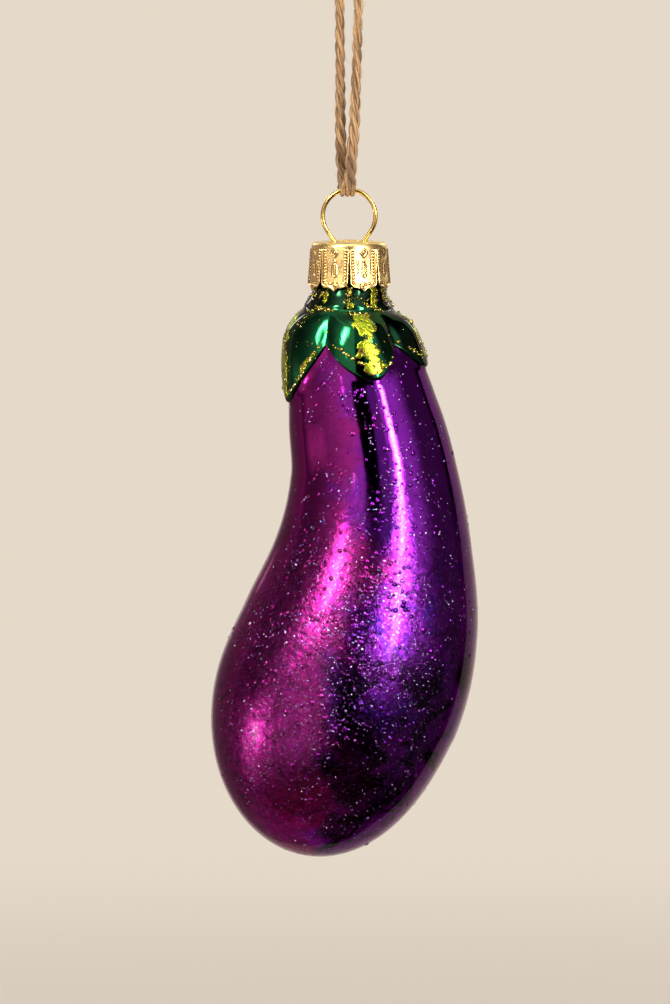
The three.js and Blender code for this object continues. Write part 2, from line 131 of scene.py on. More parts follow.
# Routes of the twine's two strands, from the ring up to the knot
FRONT_STRAND = (
    (0.00010, -0.00155, -0.0449),
    (0.00020, -0.00150, -0.0426),
    (0.00035, -0.00140, -0.0402),
    (0.00060, -0.00130, -0.0374),
    (0.00085, -0.00120, -0.0345),
    (0.00100, -0.00110, -0.0316),
    (0.00110, -0.00100, -0.0287),
    (0.00120, -0.00090, -0.0258),
    (0.00130, -0.00080, -0.0229),
    (0.00138, -0.00070, -0.0200),
    (0.00145, -0.00060, -0.0171),
    (0.00153, -0.00050, -0.0142),
    (0.00170, -0.00040, -0.0116),
    (0.00210, -0.00028, -0.0092),
    (0.00265, -0.00015, -0.0070),
    (0.00320, -0.00005, -0.0048),
    (0.00346, 0.0, -0.0028),
    (0.00330, 0.0, -0.00145),
    (0.00275, 0.0, -0.00045),
    (0.00195, 0.0, 0.0002),
)
BACK_STRAND = (
    (-0.00080, 0.00155, -0.0449),
    (-0.00100, 0.00150, -0.0426),
    (-0.00125, 0.00140, -0.0402),
    (-0.00138, 0.00130, -0.0374),
    (-0.00146, 0.00120, -0.0345),
    (-0.00150, 0.00110, -0.0316),
    (-0.00152, 0.00100, -0.0287),
    (-0.00153, 0.00090, -0.0258),
    (-0.00154, 0.00080, -0.0229),
    (-0.00155, 0.00070, -0.0200),
    (-0.00156, 0.00060, -0.0171),
    (-0.00158, 0.00050, -0.0142),
    (-0.00170, 0.00040, -0.0116),
    (-0.00210, 0.00028, -0.0092),
    (-0.00265, 0.00015, -0.0070),
    (-0.00320, 0.00005, -0.0048),
    (-0.00346, 0.0, -0.0028),
    (-0.00330, 0.0, -0.00145),
    (-0.00275, 0.0, -0.00045),
    (-0.00195, 0.0, 0.0002),
)


def size(name, description, default, low=0.0, high=1.0):
    """A length that a user would change, in metres."""
    return bpy.props.FloatProperty(
        name=name, description=description, default=default, min=low, max=high, precision=5, unit="LENGTH"
    )


def share(name, description, default, low=0.0, high=1.0):
    """A plain factor."""
    return bpy.props.FloatProperty(
        name=name, description=description, default=default, min=low, max=high, subtype="FACTOR"
    )


def tint(name, description, default):
    """A colour in linear light."""
    return bpy.props.FloatVectorProperty(
        name=name, description=description, default=default, min=0.0, max=1.0, size=3, subtype="COLOR"
    )


def count(name, description, default, low=0, high=20000):
    """A number of like things."""
    return bpy.props.IntProperty(name=name, description=description, default=default, min=low, max=high)


class StageSettings(bpy.types.PropertyGroup):
    """The backdrop, the floor, the lamps and the camera."""

    backdrop: tint("Backdrop", "Colour of the floor and of all that lies behind", (0.785, 0.694, 0.584))
    floor_drop: size("Floor Drop", "How far the floor lies under the ornament", 0.045)
    camera_distance: size("Camera Distance", "From the ornament to the camera", 2.6, 0.5, 10.0)
    camera_height: bpy.props.FloatProperty(
        name="Camera Height",
        description="The camera's angle above the horizon",
        default=math.radians(3.6),
        subtype="ANGLE",
    )
    fill: share("Fill", "Strength of the soft light from all round", 0.48, 0.0, 2.0)


class TwineSettings(bpy.types.PropertyGroup):
    """The jute loop."""

    diameter: size("Diameter", "Across all plies", 1.7 * MM)
    plies: count("Plies", "Yarns laid together into the twine", 3, 2, 4)
    lay: size("Lay", "Length of one turn of the plies", 8.2 * MM)
    bundles: count("Bundles", "Fibre bundles in each ply", 12)
    hairs: count("Hairs", "Loose fibres that stand off each strand", 150)
    pale: tint("Pale Fibre", "Colour of the sunlit fibres", (0.66, 0.385, 0.165))
    dark: tint("Dark Fibre", "Colour of the fibres that lie deeper", (0.17, 0.078, 0.024))


class MetalSettings(bpy.types.PropertyGroup):
    """The crown cap and the wire hanger."""

    wire: size("Wire", "Diameter of the hanger's wire", 0.75 * MM)
    sheet: size("Sheet", "Thickness of the cap's pressed sheet", 0.26 * MM)
    emboss: size("Emboss", "Height of the pressed pattern", 0.18 * MM)
    bead_pitch: size("Bead Pitch", "From bead to bead along a petal's edge", 0.52 * MM)
    gold: tint("Gold", "Colour of the polished cap", (0.97, 0.72, 0.25))
    brass: tint("Brass", "Colour of the wire", (0.66, 0.44, 0.10))


class GlassSettings(bpy.types.PropertyGroup):
    """The purple body and its droplets."""

    # The two tones are mixed by side, which is partly painted light for the warm left and cool right lamps.
    magenta: tint("Magenta", "Warm tone of the lacquer", (0.210, 0.009, 0.125))
    violet: tint("Violet", "Cool tone of the lacquer", (0.140, 0.009, 0.215))
    drops: count("Silvered Drops", "Small mirrored drops on the body", 4400)
    drop_radius: size("Drop Radius", "Radius of a common mirrored drop", 0.13 * MM)
    swells: count("Swells", "Broad low drops of lacquer on the body", 1050)
    swell_radius: size("Swell Radius", "Radius of a common broad drop", 0.32 * MM)


class CalyxSettings(bpy.types.PropertyGroup):
    """The green calyx and its gilding."""

    emerald: tint("Emerald", "Deep tone of the green lacquer", (0.0012, 0.068, 0.017))
    leaf: tint("Leaf", "Lime tone of the metal leaf", (0.27, 0.34, 0.008))
    old_gold: tint("Old Gold", "Gold tone of the leaf and the beads", (0.42, 0.28, 0.030))
    bead_radius: size("Bead Radius", "Radius of a common bead of gold grit", 0.19 * MM)


def smoothstep(low, high, value):
    """0 below low and 1 above high, with a smooth rise between."""
    share_up = np.clip((value - low) / (high - low), 0, 1)
    return share_up * share_up * (3 - 2 * share_up)


def bell(value, middle, width):
    """A smooth bump of height 1."""
    return np.exp(-(((value - middle) / width) ** 2))


def knob(across, down, radius):
    """Height of a half ball at a place off its middle: 1 at the middle, and 0 from its radius on."""
    return np.sqrt(np.clip(1 - (across**2 + down**2) / radius**2, 0, 1))


def cloud(points, scale, seed=0.0, octaves=3):
    """Soft noise from about -1 to 1 at each point. Scale is in features per metre."""
    offset = Vector((seed * 7.3, seed * 3.1, seed * 5.7))
    values = [noise.fractal(Vector(p) * scale + offset, 0.7, 2.0, octaves) for p in points.reshape(-1, 3)]
    return np.array(values).reshape(points.shape[:-1])


def catmull_rom(points, stations):
    """The smooth curve through points, at station numbers counted along them."""
    ends = (2 * points[0] - points[1], 2 * points[-1] - points[-2])
    padded = np.vstack([ends[0], points, ends[1]])
    first = np.clip(np.floor(stations).astype(int), 0, len(points) - 2)
    along = (stations - first)[..., None]
    before, start, end, after = (padded[first + k] for k in range(4))
    leave, arrive = (end - before) / 2, (after - start) / 2
    cubic = 2 * start - 2 * end + leave + arrive
    square = -3 * start + 3 * end - 2 * leave - arrive
    return ((cubic * along + square) * along + leave) * along + start


def run_along(line):
    """How far along a line each of its points lies."""
    return np.concatenate([[0], np.cumsum(np.linalg.norm(np.diff(line, axis=0), axis=1))])


def tail_line():
    """Points of the rounded tail's middle line, from the belly to the tip, with the share of its length."""
    shift, _, depth = BODY_RINGS[BELLY_STATION]
    lean = BODY_RINGS[BELLY_STATION + 1] - BODY_RINGS[BELLY_STATION - 1]
    lean = np.array((lean[0], -lean[2])) / math.hypot(lean[0], lean[2])
    start = np.array((shift, -depth))
    bend = start + lean * TAIL_PULL
    tip = np.array((TIP_SHIFT, -TIP_DEPTH))
    t = np.linspace(0, 1, 400)[:, None]
    line = (1 - t) ** 2 * start + 2 * t * (1 - t) * bend + t**2 * tip
    run = run_along(line)
    return line, run / run[-1]


TAIL_LINE, TAIL_SHARE = tail_line()


def ring_at(stations):
    """The middle's X and Z (under the cap's top) and the radius of the body at each station."""
    stations = np.asarray(stations, float)
    body = catmull_rom(BODY_RINGS, np.minimum(stations, BELLY_STATION))
    turn = np.clip(stations - BELLY_STATION, 0, 1) * math.pi / 2
    belly_radius = BODY_RINGS[BELLY_STATION][1]
    on_tail = stations > BELLY_STATION
    x = np.where(on_tail, np.interp(np.sin(turn), TAIL_SHARE, TAIL_LINE[:, 0]), body[..., 0])
    z = np.where(on_tail, np.interp(np.sin(turn), TAIL_SHARE, TAIL_LINE[:, 1]), -body[..., 2])
    radius = np.where(on_tail, belly_radius * np.cos(turn), body[..., 1])
    return x, z, radius


STATION_TABLE = np.linspace(0, TIP_STATION, 6000)
DEPTH_TABLE = -ring_at(STATION_TABLE)[1]


def station_at(depth):
    """The station whose middle lies at a depth under the cap's top."""
    return np.interp(depth, DEPTH_TABLE, STATION_TABLE)


def face_point(stations, angles):
    """Points of the glass's outer face at stations and angles (radians, 0 front and a quarter turn to +X)."""
    stations, angles = np.broadcast_arrays(np.asarray(stations, float), np.asarray(angles, float))
    x, z, radius = ring_at(stations)
    step = 1e-3
    above, below = ring_at(np.maximum(stations - step, 0)), ring_at(np.minimum(stations + step, TIP_STATION))
    lean_x, lean_z = below[0] - above[0], below[1] - above[1]
    length = np.hypot(lean_x, lean_z)
    sideways = radius * np.sin(angles)
    points = np.stack(
        [
            x - sideways * lean_z / length,
            -radius * np.cos(angles),
            z + sideways * lean_x / length + CAP_TOP,
        ],
        axis=-1,
    )
    return points


def face_normal(stations, angles):
    """The outward direction of the glass's face."""
    stations, angles = np.broadcast_arrays(np.asarray(stations, float), np.asarray(angles, float))
    step = 2e-3
    low = np.maximum(stations - step, 0)
    high = np.minimum(stations + step, TIP_STATION - step)
    low = np.minimum(low, high - step)
    down = face_point(high, angles) - face_point(low, angles)
    across = face_point(np.minimum(stations, TIP_STATION - step), angles + 0.01) - face_point(
        np.minimum(stations, TIP_STATION - step), angles - 0.01
    )
    normal = np.cross(down, across)
    return normal / np.linalg.norm(normal, axis=-1, keepdims=True)


def sepal_at(angles):
    """For angles in degrees: the reach (0 at a sepal's tip, 1 at a notch) and the edge's depth."""
    turned = (np.asarray(angles, float) - SEPALS[0][0]) % FULL_TURN + SEPALS[0][0]
    reach = np.zeros(turned.shape)
    edge = np.zeros(turned.shape)
    for k, (start, tip, tip_depth, notch_depth, bluntness) in enumerate(SEPALS):
        next_start = SEPALS[(k + 1) % len(SEPALS)][0] + (FULL_TURN if k == len(SEPALS) - 1 else 0)
        next_notch = SEPALS[(k + 1) % len(SEPALS)][3]
        here = (turned >= start) & (turned < next_start)
        left = turned < tip
        far = np.abs(turned - tip) / np.where(left, tip - start, next_start - tip)
        notch = np.where(left, notch_depth, next_notch)
        depth = notch + (tip_depth - notch) * (1 - np.clip(far, 0, 1) ** bluntness)
        reach = np.where(here, far, reach)
        edge = np.where(here, depth, edge)
    return reach, edge


def calyx_relief(v, reach):
    """How far the calyx stands proud of the glass. v is -1 at its top, 0 at the crease and 1 at the edge."""
    fall = np.clip(v, 0, 1)
    swell = (1 - fall**3) * (1 - smoothstep(0.1, 1.0, reach))
    full = SEPAL_EDGE_RELIEF + (SEPAL_RELIEF - SEPAL_EDGE_RELIEF) * swell
    rise = smoothstep(0, 0.28, fall)
    relief = BAND_RELIEF + (full - BAND_RELIEF) * rise
    fold = NOTCH_FOLD * bell(reach, 1.0, 0.17) * smoothstep(0.10, 0.75, fall)
    crease = CREASE_GROOVE * bell(v, 0.0, 0.07)
    return relief - fold - crease


def calyx_depth(v, edge):
    """The depth of a place on the calyx."""
    above = CREASE_DEPTH + v * (CREASE_DEPTH - CALYX_TOP_DEPTH)
    below = CREASE_DEPTH + v * (edge - CREASE_DEPTH)
    return np.where(v < 0, above, below)


def calyx_place(depth, edge):
    """How far a depth lies down the calyx, as calyx_depth takes it."""
    above = (depth - CREASE_DEPTH) / (CREASE_DEPTH - CALYX_TOP_DEPTH)
    below = (depth - CREASE_DEPTH) / (edge - CREASE_DEPTH)
    return np.where(depth < CREASE_DEPTH, above, below)


def calyx_point(angles, v, lift=0.0):
    """A point of the calyx's outer skin, at an angle in degrees, with its outward direction."""
    reach, edge = sepal_at(angles)
    stations = station_at(calyx_depth(v, edge))
    turned = np.radians(angles)
    normal = face_normal(stations, turned)
    proud = calyx_relief(v, reach) + lift
    return face_point(stations, turned) + normal * proud[..., None], normal


def build_mesh(name, points, faces):
    """A new mesh, shaded smooth, from points and faces."""
    mesh = bpy.data.meshes.new(name)
    mesh.from_pydata([tuple(p) for p in np.asarray(points).tolist()], [], [tuple(f) for f in faces])
    mesh.validate()
    mesh.polygons.foreach_set("use_smooth", [True] * len(mesh.polygons))
    mesh.update()
    return mesh


def add_piece(name, points, faces, material, body):
    """A new piece that rides on a body of the frame and takes its finish from a slot."""
    piece = bpy.data.objects.new(name, build_mesh(name, points, faces))
    bpy.context.scene.collection.objects.link(piece)
    piece.data.materials.append(material)
    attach(piece, body)
    return piece


def grid_faces(rows, columns, start=0, closed=True, flip=False):
    """Quads between rows of points, joined round when closed."""
    faces = []
    for row in range(rows - 1):
        for column in range(columns if closed else columns - 1):
            beside = (column + 1) % columns
            a = start + row * columns + column
            b = start + row * columns + beside
            quad = (a, a + columns, b + columns, b)
            faces.append(quad[::-1] if flip else quad)
    return faces


def resample(points, step):
    """A smooth line through chosen points, in even steps."""
    points = np.asarray(points, float)
    fine = catmull_rom(points, np.linspace(0, len(points) - 1, 40 * len(points)))
    run = run_along(fine)
    places = np.linspace(0, run[-1], max(int(round(run[-1] / step)), 2) + 1)
    return np.stack([np.interp(places, run, fine[:, k]) for k in range(3)], axis=1)


def frames_along(line):
    """Two directions square to the line at each of its points, without twist."""
    tangents = np.gradient(line, axis=0)
    tangents /= np.linalg.norm(tangents, axis=1, keepdims=True)
    start = np.array((1.0, 0.0, 0.0)) if abs(tangents[0][0]) < 0.9 else np.array((0.0, 1.0, 0.0))
    first = [start - tangents[0] * (start @ tangents[0])]
    for tangent in tangents[1:]:
        first.append(first[-1] - tangent * (first[-1] @ tangent))
        first[-1] = first[-1] / np.linalg.norm(first[-1])
    first = np.array(first)
    first[0] /= np.linalg.norm(first[0])
    return first, np.cross(tangents, first)


def wound(line, radius, turn_length, phase):
    """A line wound round another, one turn to each turn length."""
    first, second = frames_along(line)
    run = run_along(line)
    angle = 2 * math.pi * run / turn_length + phase
    radius = np.broadcast_to(radius, run.shape)
    one_way = (radius * np.cos(angle))[:, None]
    other_way = (radius * np.sin(angle))[:, None]
    return line + first * one_way + second * other_way


def tube(line, radius, sides, points, faces):
    """Adds a closed tube along a line to points and faces. The radius may be one number or one per point."""
    start = len(points)
    first, second = frames_along(line)
    radius = np.broadcast_to(radius, (len(line),))[:, None]
    for k in range(sides):
        angle = 2 * math.pi * k / sides
        ring = line + (first * math.cos(angle) + second * math.sin(angle)) * radius
        points.append(ring)
    block = np.stack(points[start:], axis=1).reshape(-1, 3)
    del points[start:]
    points.append(block)
    offset = sum(len(p) for p in points[:-1])
    faces.extend(grid_faces(len(line), sides, offset, flip=True))
    faces.append(tuple(offset + k for k in range(sides)))
    last = offset + (len(line) - 1) * sides
    faces.append(tuple(last + k for k in reversed(range(sides))))
    return block


def new_material(name):
    """A material with its node tree and its principled shader."""
    material = bpy.data.materials.new(name)
    material.use_nodes = True
    return material, material.node_tree, material.node_tree.nodes["Principled BSDF"]


def add_node(tree, kind, inputs=(), **settings):
    """A new node. Inputs maps a socket's name or number to a value or to another node's output."""
    node = tree.nodes.new(kind)
    for name, value in settings.items():
        setattr(node, name, value)
    for socket, value in dict(inputs).items():
        if isinstance(value, bpy.types.NodeSocket):
            tree.links.new(value, node.inputs[socket])
        else:
            node.inputs[socket].default_value = value
    return node


def math_node(tree, operation, first, second=0.0):
    """The output of a Math node."""
    return add_node(tree, "ShaderNodeMath", {0: first, 1: second}, operation=operation).outputs[0]


def times(tree, first, second):
    """Two values multiplied."""
    return math_node(tree, "MULTIPLY", first, second)


def plus(tree, first, second):
    """Two values added."""
    return math_node(tree, "ADD", first, second)


def rest_of(tree, value):
    """1 less a value."""
    return math_node(tree, "SUBTRACT", 1.0, value)


def own_tone(tree):
    """The tone that set_tone stored at each point."""
    return add_node(tree, "ShaderNodeAttribute", attribute_name="tone").outputs["Fac"]


def places_in_mm(tree):
    """The place on the object in millimetres."""
    place = add_node(tree, "ShaderNodeTexCoord").outputs["Object"]
    scaled = add_node(tree, "ShaderNodeVectorMath", {0: place, "Scale": 1 / MM}, operation="SCALE")
    return scaled.outputs[0]


def noise_node(tree, place, scale, detail=3.0, roughness=0.5, distortion=0.0):
    """The value of a noise with scale features per millimetre."""
    node = add_node(
        tree,
        "ShaderNodeTexNoise",
        {"Vector": place, "Scale": scale, "Detail": detail, "Roughness": roughness, "Distortion": distortion},
    )
    return node.outputs["Fac"]


def ramp_node(tree, value, stops):
    """A colour ramp with (position, colour) stops."""
    node = add_node(tree, "ShaderNodeValToRGB", {"Fac": value})
    elements = node.color_ramp.elements
    while len(elements) < len(stops):
        elements.new(0.5)
    for element, (position, colour) in zip(elements, stops):
        element.position = position
        element.color = (*colour, 1.0)
    return node.outputs["Color"]


def range_node(tree, value, from_low, from_high, to_low, to_high):
    """A value moved from one range to another."""
    node = add_node(
        tree,
        "ShaderNodeMapRange",
        {"Value": value, "From Min": from_low, "From Max": from_high, "To Min": to_low, "To Max": to_high},
    )
    return node.outputs["Result"]


def mix_colours(tree, factor, first, second, blend="MIX"):
    """Two colours mixed."""
    node = add_node(tree, "ShaderNodeMix", data_type="RGBA", blend_type=blend)
    for socket, value in ((node.inputs["Factor"], factor), (node.inputs[6], first), (node.inputs[7], second)):
        if isinstance(value, bpy.types.NodeSocket):
            tree.links.new(value, socket)
        elif isinstance(value, (int, float)):
            socket.default_value = value
        else:
            socket.default_value = (*value[:3], 1.0)
    return node.outputs[2]


def bump_node(tree, height, distance, strength=1.0, normal=None):
    """A bump of a height in metres."""
    inputs = {"Height": height, "Distance": distance, "Strength": strength}
    if normal is not None:
        inputs["Normal"] = normal
    return add_node(tree, "ShaderNodeBump", inputs).outputs["Normal"]


def scaled(colour, factor):
    """A colour made lighter or darker."""
    return tuple(min(c * factor, 1.0) for c in colour)


def rise(tree, value, low, high):
    """0 below low and 1 above high, with a smooth rise between."""
    return add_node(
        tree,
        "ShaderNodeMapRange",
        {"Value": value, "From Min": low, "From Max": high},
        interpolation_type="SMOOTHSTEP",
    ).outputs["Result"]


# Heights in millimetres over which the body's tones change, and the tones that the settings don't give
VIOLET_RISE = (-112.0, -90.0)
FROST_FADE = (-118.0, -88.0)
LOW_BLACK_FADE = (-129.0, -118.0)
DEEP_BLUE = (0.055, 0.012, 0.24)
LOW_BLACK = (0.006, 0.0015, 0.009)
BARE_SILVER = (0.34, 0.22, 0.36)
# The neck's near-black colour is painted shade for the dark inside the cap.
NECK_SHADE = (0.006, 0.012, 0.008)


def lacquer_colour(settings, tree, place):
    """Magenta on one side and violet on the other, partly the lacquer's own drifting tone and partly painted
    light for the warm left and cool right lamps; clouded and marbled with black, with black patches towards
    the bottom, and a neck mixed near black as painted shade under the cap.

    It also gives how frosted each place is, from 0 high up to 1 low down.
    """
    axes = add_node(tree, "ShaderNodeSeparateXYZ", {0: place})
    # Partly painted light: this tone by side turns the lacquer magenta towards -X and violet towards +X, for
    # the warm left and cool right lamps; the drift adds the lacquer's own changing tone.
    side = own_tone(tree)
    drift = noise_node(tree, place, 0.09, 3.0, 0.55, 0.6)
    hue = plus(tree, side, times(tree, drift, 0.9))
    upper = rise(tree, axes.outputs["Z"], *VIOLET_RISE)
    hue = plus(tree, hue, times(tree, upper, 0.10))
    hue = rise(tree, hue, 0.82, 1.06)
    colour = mix_colours(tree, hue, settings.magenta, settings.violet)
    blue = rise(tree, noise_node(tree, place, 0.13, 4.0, 0.6, 1.0), 0.50, 0.66)
    frosted = rest_of(tree, rise(tree, axes.outputs["Z"], *FROST_FADE))
    low_side = times(tree, frosted, hue)
    blue = times(tree, blue, low_side)
    colour = mix_colours(tree, times(tree, blue, 0.7), colour, DEEP_BLUE)
    # Near-black patches towards the bottom, more on the violet side.
    low_black = rise(tree, noise_node(tree, place, 0.10, 7.0, 0.68, 1.2), 0.55, 0.44)
    low = rest_of(tree, rise(tree, axes.outputs["Z"], *LOW_BLACK_FADE))
    low_black = times(tree, low_black, times(tree, low, plus(tree, hue, 0.06)))
    colour = mix_colours(tree, times(tree, low_black, 0.90), colour, LOW_BLACK)
    cloud_value = noise_node(tree, place, 0.30, 9.0, 0.70, 1.7)
    clouds = ramp_node(
        tree,
        cloud_value,
        [(0.36, (0.22,) * 3), (0.46, (0.62,) * 3), (0.55, (0.96,) * 3), (0.72, (1.20,) * 3)],
    )
    marbled = mix_colours(tree, 1.0, colour, clouds, "MULTIPLY")
    amount = plus(tree, times(tree, frosted, 0.60), 0.25)
    colour = mix_colours(tree, amount, colour, marbled)
    bare = rise(tree, noise_node(tree, place, 2.4, 3.0, 0.6), 0.56, 0.68)
    bare = times(tree, bare, plus(tree, times(tree, frosted, 0.40), 0.03))
    colour = mix_colours(tree, bare, colour, BARE_SILVER)
    # Painted shade: the glass near the top, under the cap, is mixed near black.
    neck = rise(tree, axes.outputs["Z"], (CAP_TOP - 11 * MM) / MM, (CAP_TOP - 7.5 * MM) / MM)
    return mix_colours(tree, neck, colour, NECK_SHADE), frosted


def purple_lacquer(settings, name):
    """Transparent purple lacquer over silvered glass, frosted low down, with a glassy top coat."""
    material, tree, shader = new_material(name)
    place = places_in_mm(tree)
    colour, frosted = lacquer_colour(settings, tree, place)
    tree.links.new(colour, shader.inputs["Base Color"])
    frost = noise_node(tree, place, 1.05, 9.0, 0.70, 1.2)
    roughness = times(tree, range_node(tree, frost, 0.35, 0.70, 0.01, 0.12), frosted)
    tree.links.new(plus(tree, roughness, 0.045), shader.inputs["Roughness"])
    shader.inputs["Metallic"].default_value = 1.0
    shader.inputs["Specular Tint"].default_value = (0.40, 0.12, 0.34, 1.0)
    shader.inputs["Coat Weight"].default_value = 1.0
    shader.inputs["Coat Roughness"].default_value = 0.03
    shader.inputs["Coat IOR"].default_value = 1.12
    slow = noise_node(tree, place, 0.16, 2.0, 0.5)
    ripples = bump_node(tree, slow, 0.22 * MM, 0.5)
    feathers = times(tree, frost, plus(tree, frosted, 0.12))
    shape = bump_node(tree, feathers, 0.09 * MM, 0.65, ripples)
    tree.links.new(shape, shader.inputs["Normal"])
    return material


def drop_lacquer(settings):
    """Mirrored drops: some dark, most lavender, a few white or teal, by each drop's own tone."""
    material, tree, shader = new_material("Silvered drops")
    tone = own_tone(tree)
    colour = ramp_node(
        tree,
        tone,
        [
            (0.00, scaled(settings.magenta, 0.3)),
            (0.34, scaled(settings.violet, 0.8)),
            (0.55, (0.18, 0.08, 0.26)),
            (0.86, (0.34, 0.24, 0.42)),
            (0.96, (0.62, 0.55, 0.68)),
            (0.97, (0.10, 0.34, 0.42)),
        ],
    )
    tree.links.new(colour, shader.inputs["Base Color"])
    shader.inputs["Metallic"].default_value = 1.0
    shader.inputs["Roughness"].default_value = 0.22
    return material


def emerald_lacquer(settings):
    """Green lacquer over silvered glass, with painted shade darkening the neck band under the cap."""
    material, tree, shader = new_material("Emerald lacquer")
    place = places_in_mm(tree)
    drift = noise_node(tree, place, 0.16, 4.0, 0.55, 0.8)
    deep, pale = scaled(settings.emerald, 0.45), scaled(settings.emerald, 1.6)
    colour = ramp_node(tree, drift, [(0.35, deep), (0.50, settings.emerald), (0.70, pale)])
    height = add_node(tree, "ShaderNodeSeparateXYZ", {0: place}).outputs["Z"]
    crease = (CAP_TOP - CREASE_DEPTH) / MM
    # Painted shade: the band above the crease, under the cap, is mixed towards a darker emerald.
    band_shade = rise(tree, height, crease - 0.6, crease + 1.6)
    colour = mix_colours(tree, band_shade, colour, scaled(settings.emerald, 0.4))
    tree.links.new(colour, shader.inputs["Base Color"])
    tree.links.new(range_node(tree, drift, 0.3, 0.7, 0.13, 0.06), shader.inputs["Roughness"])
    shader.inputs["Metallic"].default_value = 1.0
    shader.inputs["Specular Tint"].default_value = (0.05, 0.26, 0.10, 1.0)
    shader.inputs["Coat Weight"].default_value = 1.0
    shader.inputs["Coat Roughness"].default_value = 0.03
    shader.inputs["Coat IOR"].default_value = 1.20
    tree.links.new(bump_node(tree, drift, 0.25 * MM, 0.4), shader.inputs["Normal"])
    return material


def metal_leaf(settings):
    """Smooth leaf, lime in most places and old gold along its creases."""
    material, tree, shader = new_material("Metal leaf")
    place = places_in_mm(tree)
    patches = noise_node(tree, place, 0.55, 5.0, 0.6, 0.8)
    colour = ramp_node(
        tree,
        patches,
        [
            (0.34, scaled(settings.old_gold, 0.25)),
            (0.42, scaled(settings.old_gold, 0.8)),
            (0.47, settings.leaf),
            (0.75, scaled(settings.leaf, 1.15)),
        ],
    )
    tree.links.new(colour, shader.inputs["Base Color"])
    tree.links.new(range_node(tree, patches, 0.3, 0.7, 0.30, 0.22), shader.inputs["Roughness"])
    shader.inputs["Metallic"].default_value = 0.8
    tree.links.new(bump_node(tree, patches, 0.25 * MM, 0.6), shader.inputs["Normal"])
    return material


def gold_grit(settings):
    """Polished beads of gold and lime grit, each with a tone of its own."""
    material, tree, shader = new_material("Gold grit")
    tone = own_tone(tree)
    colour = ramp_node(
        tree,
        tone,
        [
            (0.0, scaled(settings.old_gold, 0.25)),
            (0.5, scaled(settings.old_gold, 0.8)),
            (0.75, scaled(settings.leaf, 0.9)),
            (1.0, (0.80, 0.66, 0.30)),
        ],
    )
    tree.links.new(colour, shader.inputs["Base Color"])
    tree.links.new(range_node(tree, tone, 0.0, 1.0, 0.30, 0.12), shader.inputs["Roughness"])
    shader.inputs["Metallic"].default_value = 0.9
    return material


def polished_gold(name, colour, roughness, grain):
    """Bright plated metal with faint handling marks, darkened by painted shade where a tone marks a recess.
    """
    material, tree, shader = new_material(name)
    place = places_in_mm(tree)
    recess_shade = own_tone(tree)
    stain = noise_node(tree, place, 0.5, 4.0, 0.55)
    marks = noise_node(tree, place, grain, 2.0, 0.6)
    tone = ramp_node(tree, stain, [(0.35, scaled(colour, 0.85)), (0.60, colour)])
    # Painted shade: the recess tone mixes the gold towards a dark brown.
    deep = tuple(c * f for c, f in zip(colour, (0.30, 0.17, 0.08)))
    tone = mix_colours(tree, recess_shade, tone, deep)
    tree.links.new(tone, shader.inputs["Base Color"])
    varied_by_place = range_node(tree, stain, 0.3, 0.7, roughness * 1.3, roughness * 0.85)
    tree.links.new(varied_by_place, shader.inputs["Roughness"])
    shader.inputs["Metallic"].default_value = 1.0
    tree.links.new(bump_node(tree, marks, 0.02 * MM, 0.3), shader.inputs["Normal"])
    return material


def jute_fibre(settings):
    """Dry bast fibre, with its tone from the bundle and fine streaks."""
    material, tree, shader = new_material("Jute fibre")
    place = places_in_mm(tree)
    tone = own_tone(tree)
    streaks = noise_node(tree, place, 3.2, 5.0, 0.65)
    value = plus(tree, times(tree, tone, 0.6), times(tree, streaks, 0.5))
    colour = ramp_node(
        tree,
        value,
        [
            (0.20, settings.dark),
            (0.50, tuple((a + b) / 2 for a, b in zip(settings.dark, settings.pale))),
            (0.72, settings.pale),
            (0.95, scaled(settings.pale, 1.3)),
        ],
    )
    tree.links.new(colour, shader.inputs["Base Color"])
    shader.inputs["Roughness"].default_value = 0.82
    shader.inputs["Sheen Weight"].default_value = 0.25
    shader.inputs["Sheen Roughness"].default_value = 0.4
    tree.links.new(bump_node(tree, streaks, 0.10 * MM, 0.5), shader.inputs["Normal"])
    return material


def set_tone(piece, values):
    """Stores a tone for each point of a piece."""
    layer = piece.data.attributes.new("tone", "FLOAT", "POINT")
    layer.data.foreach_set("value", np.asarray(values, np.float32))


